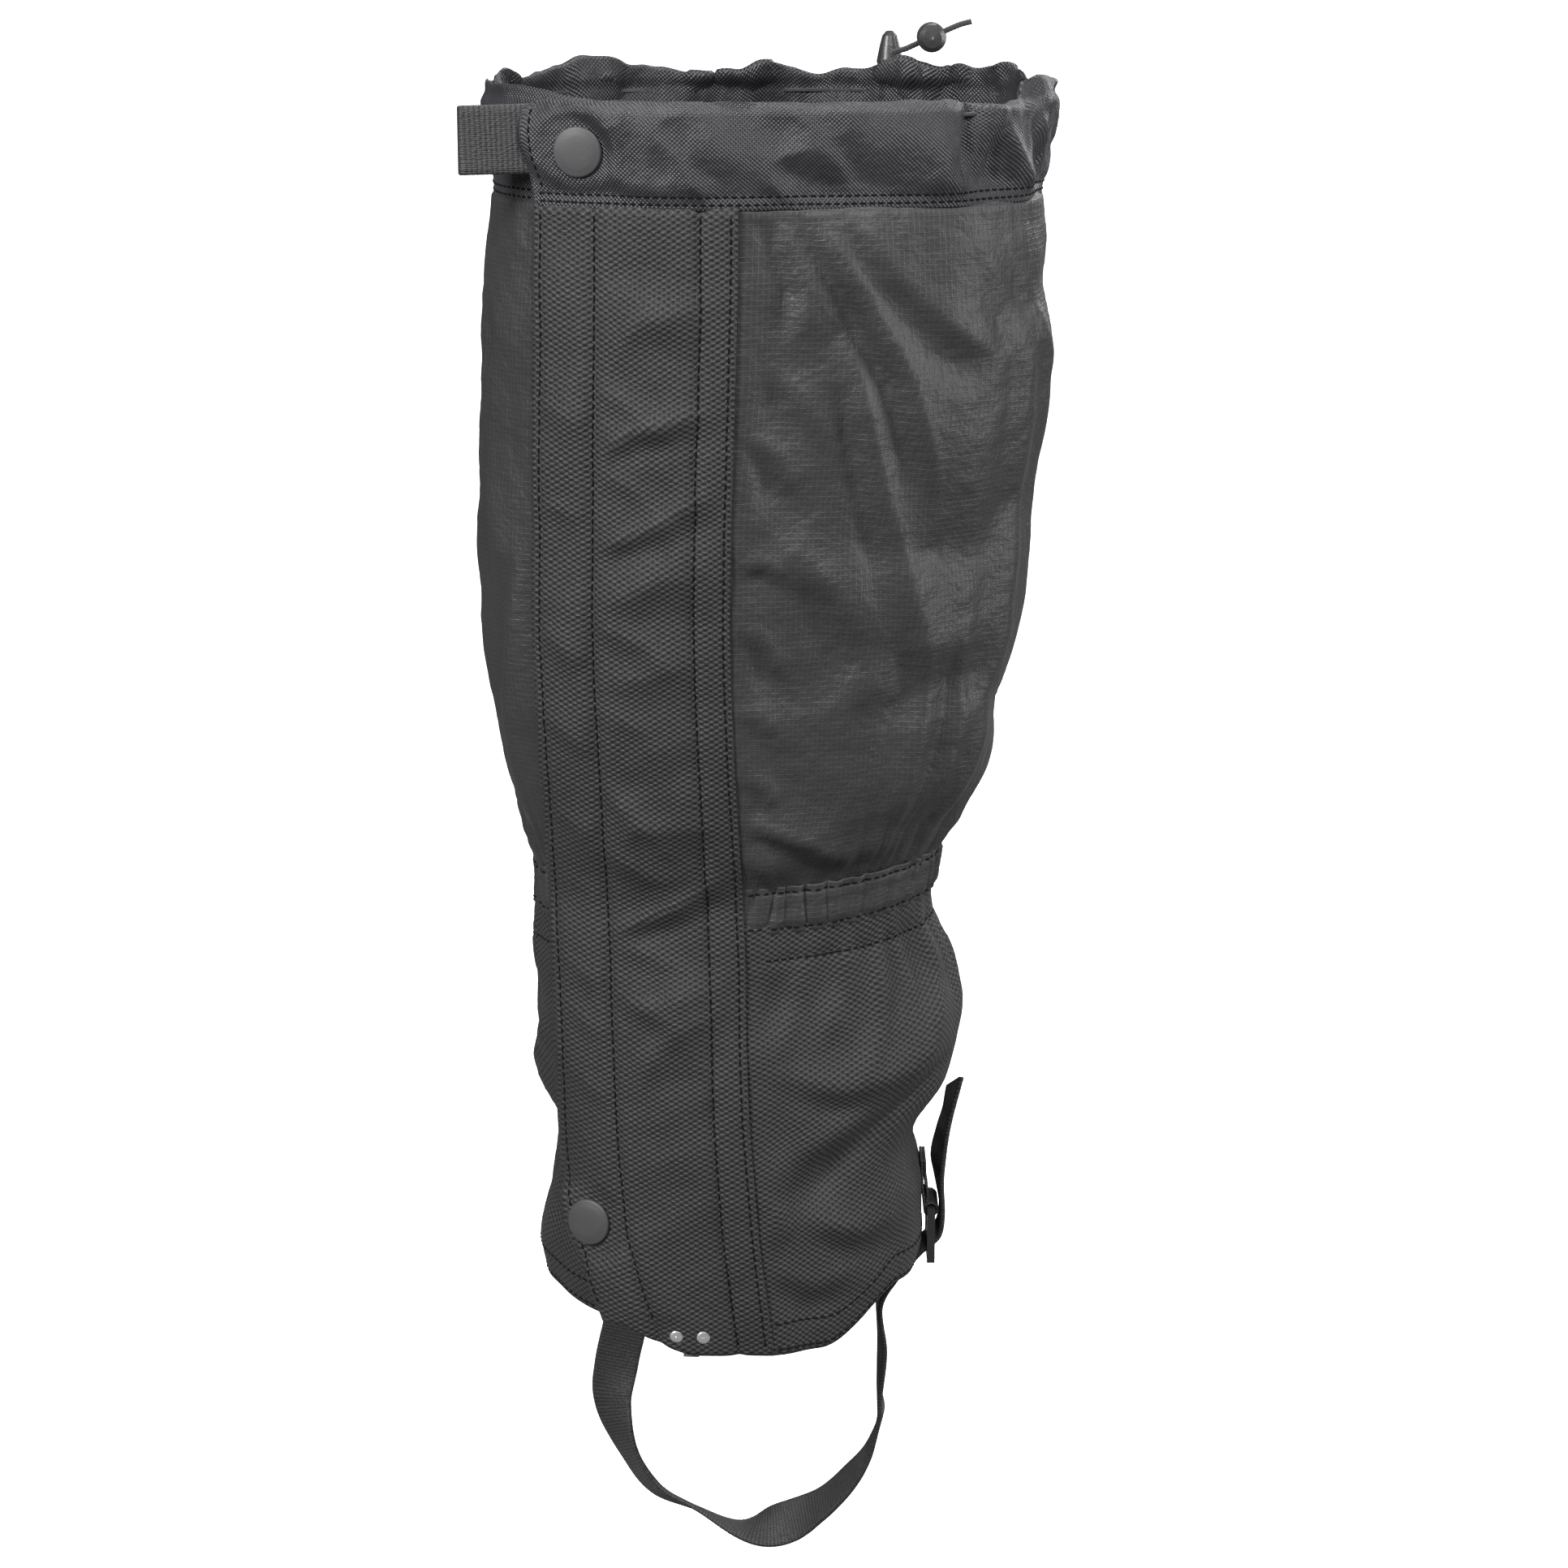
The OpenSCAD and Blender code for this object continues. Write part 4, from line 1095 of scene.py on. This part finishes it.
class Field:
    """A number in a material's node tree that takes part in arithmetic."""

    def __init__(self, tree, socket):
        self.tree, self.socket = tree, socket

    def math(self, kind, *others):
        node = self.tree.nodes.new("ShaderNodeMath")
        node.operation = kind
        for k, v in enumerate((self,) + others):
            if isinstance(v, Field):
                self.tree.links.new(v.socket, node.inputs[k])
            else:
                node.inputs[k].default_value = v
        return Field(self.tree, node.outputs[0])

    def __add__(self, v):
        return self.math("ADD", v)

    def __sub__(self, v):
        return self.math("SUBTRACT", v)

    def __mul__(self, v):
        return self.math("MULTIPLY", v)

    __radd__, __rmul__ = __add__, __mul__

    def __rsub__(self, v):
        return self * -1.0 + v

    def sin(self, period):
        """A wave between -1 and 1 with this period."""
        return self.math("MULTIPLY", 2 * math.pi / period).math("SINE")

    def clamp(self, low, high):
        return self.math("MAXIMUM", low).math("MINIMUM", high)


class Cloth:
    """A material with its cloth coordinates u, v in millimetres."""

    def __init__(self, name, uv=True):
        self.material = bpy.data.materials.new(name)
        self.material.use_nodes = True
        self.tree = self.material.node_tree
        self.shader = self.tree.nodes["Principled BSDF"]
        if uv:
            node = self.tree.nodes.new("ShaderNodeUVMap")
            self.vector = node.outputs["UV"]
        else:
            node = self.tree.nodes.new("ShaderNodeTexCoord")
            scale = self.tree.nodes.new("ShaderNodeVectorMath")
            scale.operation = "SCALE"
            scale.inputs["Scale"].default_value = 1 / MM
            self.tree.links.new(node.outputs["Object"], scale.inputs[0])
            self.vector = scale.outputs[0]
        split = self.tree.nodes.new("ShaderNodeSeparateXYZ")
        self.tree.links.new(self.vector, split.inputs[0])
        self.u, self.v, self.w = (Field(self.tree, split.outputs[k]) for k in range(3))

    def noise(self, size, detail=2.0, stretch=(1, 1, 1), seed=0.0):
        """Noise between about -1 and 1 with blobs of this size in millimetres."""
        mapping = self.tree.nodes.new("ShaderNodeMapping")
        mapping.inputs["Scale"].default_value = [c / size for c in stretch]
        mapping.inputs["Location"].default_value = (seed, seed * 1.7, seed * 0.3)
        node = self.tree.nodes.new("ShaderNodeTexNoise")
        node.inputs["Scale"].default_value = 1.0
        node.inputs["Detail"].default_value = detail
        self.tree.links.new(self.vector, mapping.inputs["Vector"])
        self.tree.links.new(mapping.outputs[0], node.inputs["Vector"])
        return (Field(self.tree, node.outputs[0]) - 0.5) * 4.0

    def finish(self, color, tone, rough, height=None, depth=0.1, sheen=0.0, sheen_rough=0.4, metal=0.0,
               coat=0.0, specular=0.5, tint=(1.0, 1.0, 1.0)):
        """tone multiplies the colour, rough is a number or a Field, height is in units of depth
        millimetres."""
        mix = self.tree.nodes.new("ShaderNodeVectorMath")
        mix.operation = "SCALE"
        mix.inputs[0].default_value = color
        self.tree.links.new(tone.math("MAXIMUM", 0.05).socket, mix.inputs["Scale"])
        self.tree.links.new(mix.outputs[0], self.shader.inputs["Base Color"])
        if isinstance(rough, Field):
            self.tree.links.new(rough.clamp(0.05, 1.0).socket, self.shader.inputs["Roughness"])
        else:
            self.shader.inputs["Roughness"].default_value = rough
        for key, value in (
                ("Metallic", metal), ("Coat Weight", coat), ("Specular IOR Level", specular),
                ("Sheen Weight", sheen), ("Sheen Roughness", sheen_rough), ("Sheen Tint", (*tint, 1.0))):
            self.shader.inputs[key].default_value = value
        if height is not None:
            bump_node = self.tree.nodes.new("ShaderNodeBump")
            bump_node.inputs["Distance"].default_value = depth * MM
            self.tree.links.new(height.socket, bump_node.inputs["Height"])
            self.tree.links.new(bump_node.outputs[0], self.shader.inputs["Normal"])
        return self.material


def oxford_material():
    c = Cloth("oxford_weave")
    drift = c.noise(7, 2, seed=11) * 0.22
    dots = (c.u + drift).sin(2.7) * (c.v + drift).sin(1.8)
    fine = c.noise(0.5, 1, seed=3)
    cloudy = c.noise(22, 3)
    tone = 1 + dots * 0.85 + fine * 0.25 + cloudy * 0.14
    return c.finish((0.024, 0.024, 0.0252), tone, 0.56 - dots * 0.08, dots * 0.6 + fine * 0.25, 0.3,
                    sheen=0.04, specular=0.3)


def ripstop_material(name="ripstop", color=(0.0265, 0.0265, 0.0275), rough=0.48):
    c = Cloth(name)
    grid = (c.u.sin(3.2).math("ABSOLUTE").math("POWER", 24.0)).math(
        "MAXIMUM", c.v.sin(3.2).math("ABSOLUTE").math("POWER", 24.0))
    crinkle = c.noise(5.5, 4, seed=1) * 0.6 + c.noise(2.2, 2, seed=2) * 0.25
    tone = 1 + grid * 0.28 + c.noise(30, 3, seed=5) * 0.10 + c.noise(0.4, 1, seed=8) * 0.08
    return c.finish(color, tone, rough + crinkle * 0.04, grid * 0.16 + crinkle, 0.3, sheen=0.04,
                    sheen_rough=0.35, specular=0.34)


def band_material():
    c = Cloth("band_twill")
    twill = (c.u + c.v).sin(1.25) * 0.6 + (c.u - c.v).sin(1.25) * 0.4
    sheen_patch = c.noise(9, 3, stretch=(1, 0.5, 1), seed=4)
    tone = 1 + twill * 0.95 + sheen_patch * 0.22
    return c.finish((0.0205, 0.0205, 0.0237), tone, 0.42 - twill * 0.06,
                    twill * 0.5 + c.noise(3.0, 3, seed=6) * 0.5, 0.22, sheen=0.05, sheen_rough=0.35,
                    specular=0.45, tint=(0.85, 0.9, 1.0))


def webbing_material(name="webbing", color=(0.0245, 0.0232, 0.0228), pitch=1.15):
    c = Cloth(name)
    rib = (c.v * (2 * math.pi / pitch)).math("COSINE")
    thread = c.noise(0.55, 2, stretch=(1, 0.45, 1), seed=7)
    tone = 1 + rib * 0.55 + thread * 0.30 + c.noise(12, 2, seed=9) * 0.10
    return c.finish(color, tone, 0.6, thread * 0.5 + c.u.sin(0.6) * 0.15, 0.2, sheen=0.05, specular=0.45)


def pile_material():
    c = Cloth("hook_and_loop_pile")
    fuzz = c.noise(0.5, 3, seed=2)
    return c.finish((0.024, 0.024, 0.026), 1 + fuzz * 0.35, 0.85, fuzz, 0.3, sheen=0.35, sheen_rough=0.6,
                    specular=0.3)


def cord_material():
    c = Cloth("braided_cord")
    braid = (c.u * 1.1 + c.v).sin(1.1) * (c.u * 1.1 - c.v).sin(1.1)
    return c.finish((0.028, 0.028, 0.029), 1 + braid * 0.4, 0.6, braid, 0.12, sheen=0.15)


# Nearly black thread, far darker than the cloth: partly the thread's own dark colour, partly painted shade
# for the shadowed stitch grooves
def thread_material():
    c = Cloth("sewing_thread", uv=False)
    twist = (c.u + c.v + c.w).sin(0.7)
    return c.finish((0.005, 0.005, 0.0055), 1 + twist * 0.3, 0.8, twist, 0.05, specular=0.12)


def metal_material(name, color, rough, scratch):
    c = Cloth(name, uv=False)
    lines = c.noise(1.2, 3, stretch=(1, 1, 6), seed=1)
    return c.finish(color, 1 + lines * scratch, rough + lines * 0.05, lines, 0.01, metal=1.0)


def enamel_material():
    c = Cloth("snap_enamel", uv=False)
    speck = c.noise(0.5, 2, seed=3)
    return c.finish((0.046, 0.046, 0.048), 1 + speck * 0.05 + c.noise(6, 3) * 0.06, 0.5 + speck * 0.03,
                    speck, 0.012, specular=0.45)


def plastic_material(name, color, rough, coat):
    c = Cloth(name, uv=False)
    grain = c.noise(0.6, 3, seed=5)
    return c.finish(color, 1 + c.noise(4, 2) * 0.08, rough + grain * 0.04, grain, 0.02, coat=coat)


OXFORD, RIPSTOP, BAND = oxford_material(), ripstop_material(), band_material()
CASING = ripstop_material("casing_cloth", (0.027, 0.027, 0.0285), 0.52)
WEBBING, PILE = webbing_material(), pile_material()
GROSGRAIN = webbing_material("grosgrain", (0.0228, 0.0228, 0.0233), 1.55)
CORD, THREAD = cord_material(), thread_material()
STEEL = metal_material("nickel_steel", (0.42, 0.42, 0.42), 0.28, 0.10)
CHROME = metal_material("rivet_chrome", (0.95, 0.95, 0.93), 0.3, 0.03)
ENAMEL = enamel_material()
SATIN = plastic_material("satin_plastic", (0.028, 0.028, 0.029), 0.38, 0.15)
GLOSS = plastic_material("gloss_plastic", (0.02, 0.02, 0.021), 0.22, 0.5)


def wear(piece, material):
    piece.data.materials.clear()
    piece.data.materials.append(material)


# ---- Which CAD body each piece rides on, what it replaces, and its material ----
def metres(point):
    return tuple(float(c) * MM for c in point)


def dress(piece, material, body=None, blend=None, replaces=()):
    wear(piece, material)
    if blend is not None:
        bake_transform(piece)
    else:
        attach(piece, body)
    if replaces:
        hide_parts(*replaces)


# The flap's cloth pieces are baked in place; FLAP_BLEND gives its bodies and points at its seam and at the
# stitch line beside it
FLAP_BLEND = ("gaiter", "flap", metres((1.5, -58, 200)), metres((-16, -58, 200)))
for piece, material, slot, nodes in (
        (upper_right, RIPSTOP, "ripstop", ("upper_right_panel",)),
        (upper_left, RIPSTOP, "ripstop", ("upper_left_panel",)),
        (lower_right, OXFORD, "oxford", ("lower_right_panel",)),
        (lower_left, OXFORD, "oxford", ("lower_left_panel",)),
        (casing, CASING, "ripstop", ("ankle_casing",)),
        (elastic, WEBBING, "elastic", ("ankle_elastic",)),
        (tape, WEBBING, "webbing", ("hem_tape",)),
        (underlap, OXFORD, "oxford", ("underlap_placket",)),
        (loops, PILE, "hook_and_loop", ("loop_strip",)),
        (band_rest, BAND, "band_twill", ("top_band", "band_lining")),
        (draw, CORD, "elastic_cord", ("drawcord",)),
        (tail_cord, CORD, "elastic_cord", ("cord_tail",)),
        *((line, THREAD, "oxford", ()) for line in tube_lines)):
    dress(piece, material, "gaiter", replaces=nodes)
for piece, material, slot, nodes in (
        (hooks, PILE, "hook_and_loop", ("hook_strip",)),
        (band_end_line, THREAD, "band_twill", ()),
        *((cap, ENAMEL, "snap_enamel", ("snap_caps",)) for cap in caps)):
    dress(piece, material, "flap", replaces=nodes)
for piece, material, slot, nodes in (
        (flap, OXFORD, "oxford", ("closure_flap",)),
        (band_front, BAND, "band_twill", ("band_front_end",)),
        *((line, THREAD, "oxford", ()) for line in flap_lines)):
    dress(piece, material, blend=FLAP_BLEND, replaces=nodes)
# These pieces are baked in place too; each row gives its bodies and two points, and the strap's slanted pair
# starts at its sewn end in the hem
TAB_ROOT = np.array([pull_box[1][0], PULL[1], PULL[2]])
for piece, material, slot, node, bodies, start, end in (
        (pull_tab, GROSGRAIN, "webbing", "pull_tab", ("flap", "pull_tab"), TAB_ROOT + [1.5, 0, 0],
         TAB_ROOT - [3.5, 0, 0]),
        (bell_braid, CORD, "elastic_cord", "bell_cord", ("gaiter", "bell"), BELL + [0, 0, -1.5],
         BELL + [0, 0, 2.5]),
        (strap, WEBBING, "webbing", "stirrup_strap", ("gaiter", "strap"), (-46, 38, 14), (-20, 30, -30)),
        (strap_end, WEBBING, "webbing", "strap_tail", ("buckle", "strap"), PIVOT + [3, 0, -6],
         PIVOT + [5, 0, 18]),
        (buckle_tab, WEBBING, "webbing", "buckle_tab", ("gaiter", "strap"), PIVOT + [-3, 0, 15],
         PIVOT + [-3, 0, 3])):
    dress(piece, material, blend=(*bodies, metres(start), metres(end)), replaces=(node,))

# Hard pieces keep their CAD mesh, with a small bevel
BEVEL, BEVEL_ANGLE = 0.12, 35
for material, nodes in (
        (STEEL, ("snap_sockets", "snap_studs", "snap_posts", "lace_hook", "cord_eyelets",
                 "cord_lock_spring")),
        (CHROME, ("lace_hook_rivets",)), (SATIN, ("cord_lock_body", "cord_lock_plunger", "cord_bell")),
        (GLOSS, ("strap_buckle",)), (WEBBING, ("strap_anchor",))):
    for name in nodes:
        obj = bpy.data.objects[name]
        for slot in obj.material_slots:
            slot.material = material
        edge = obj.modifiers.new("soft_edges", "BEVEL")
        edge.width, edge.segments = BEVEL * MM, 2
        edge.limit_method, edge.angle_limit = "ANGLE", math.radians(BEVEL_ANGLE)

# ---- Floor, light and camera ----
floor_z = float(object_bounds()[0][2]) - 4 * MM

# The floor is pale to the camera, and throws back less light on the object than it shows
FLOOR_SEEN, FLOOR_BOUNCE = 0.9, 0.12


def make_floor():
    """A pale sweep that runs up behind the object."""
    section = [(-3.0, 0.0), (1.2, 0.0)]
    for a in np.linspace(0, 90, 16):
        section.append((1.2 + 0.8 * math.sin(math.radians(a)), 0.8 - 0.8 * math.cos(math.radians(a))))
    section.append((2.0, 4.0))
    points = [(x, y, floor_z + z) for y, z in section for x in (-6.0, 6.0)]
    faces = [(2 * i, 2 * i + 1, 2 * i + 3, 2 * i + 2) for i in range(len(section) - 1)]
    obj = make_object("floor", np.array(points) / MM, faces)
    mat = bpy.data.materials.new("pale_floor")
    mat.use_nodes = True
    shader = mat.node_tree.nodes["Principled BSDF"]
    shader.inputs["Roughness"].default_value = 0.9
    shader.inputs["Emission Color"].default_value = (1, 1, 1, 1)
    seen = Field(mat.node_tree, mat.node_tree.nodes.new("ShaderNodeLightPath").outputs["Is Camera Ray"])
    mat.node_tree.links.new((seen * 0.8).socket, shader.inputs["Emission Strength"])
    mix = mat.node_tree.nodes.new("ShaderNodeCombineColor")
    pale = seen * (FLOOR_SEEN - FLOOR_BOUNCE) + FLOOR_BOUNCE
    for channel in mix.inputs[:3]:
        mat.node_tree.links.new(pale.socket, channel)
    mat.node_tree.links.new(mix.outputs[0], shader.inputs["Base Color"])
    obj.data.materials.append(mat)


make_floor()
world = bpy.data.worlds.new("studio")
world.use_nodes = True
WORLD_SEEN, WORLD_LIGHT = 1.05, 0.08
background = world.node_tree.nodes["Background"]
background.inputs["Color"].default_value = (1, 1, 1, 1)
seen = Field(world.node_tree, world.node_tree.nodes.new("ShaderNodeLightPath").outputs["Is Camera Ray"])
world.node_tree.links.new((seen * (WORLD_SEEN - WORLD_LIGHT) + WORLD_LIGHT).socket,
                          background.inputs["Strength"])
bpy.context.scene.world = world
bpy.context.scene.view_settings.view_transform = "Standard"

TARGET = np.array([0.010, 0.0, 0.174])


def softbox(name, place, size, power):
    data = bpy.data.lights.new(name, "AREA")
    data.shape, data.size, data.size_y, data.energy = "RECTANGLE", size[0], size[1], power
    obj = bpy.data.objects.new(name, data)
    bpy.context.scene.collection.objects.link(obj)
    obj.location = place
    obj.rotation_euler = (Vector(TARGET) - Vector(place)).to_track_quat("-Z", "Y").to_euler()


softbox("key_left", (-1.0, -1.0, 1.05), (0.5, 0.9), 38)
softbox("side_right", (1.35, -0.3, 0.55), (0.35, 1.2), 16)
softbox("rim_back", (0.9, 1.0, 0.9), (0.5, 0.9), 10)
softbox("front_top", (0.35, -1.2, 1.4), (0.5, 0.4), 20)
softbox("overhead", (0.1, 0.5, 1.6), (0.8, 0.5), 12)

camera = bpy.data.objects.new("camera", bpy.data.cameras.new("camera"))
bpy.context.scene.collection.objects.link(camera)
CAMERA_ELEVATION, CAMERA_DISTANCE = math.radians(14.5), 1.2
camera.location = TARGET + CAMERA_DISTANCE * np.array(
    [0, -math.cos(CAMERA_ELEVATION), math.sin(CAMERA_ELEVATION)])
camera.rotation_euler = (Vector(TARGET) - camera.location).to_track_quat("-Z", "Y").to_euler()
camera.data.lens, camera.data.sensor_width = 85.7, 36
camera.data.clip_start, camera.data.clip_end = 0.05, 50
bpy.context.scene.camera = camera
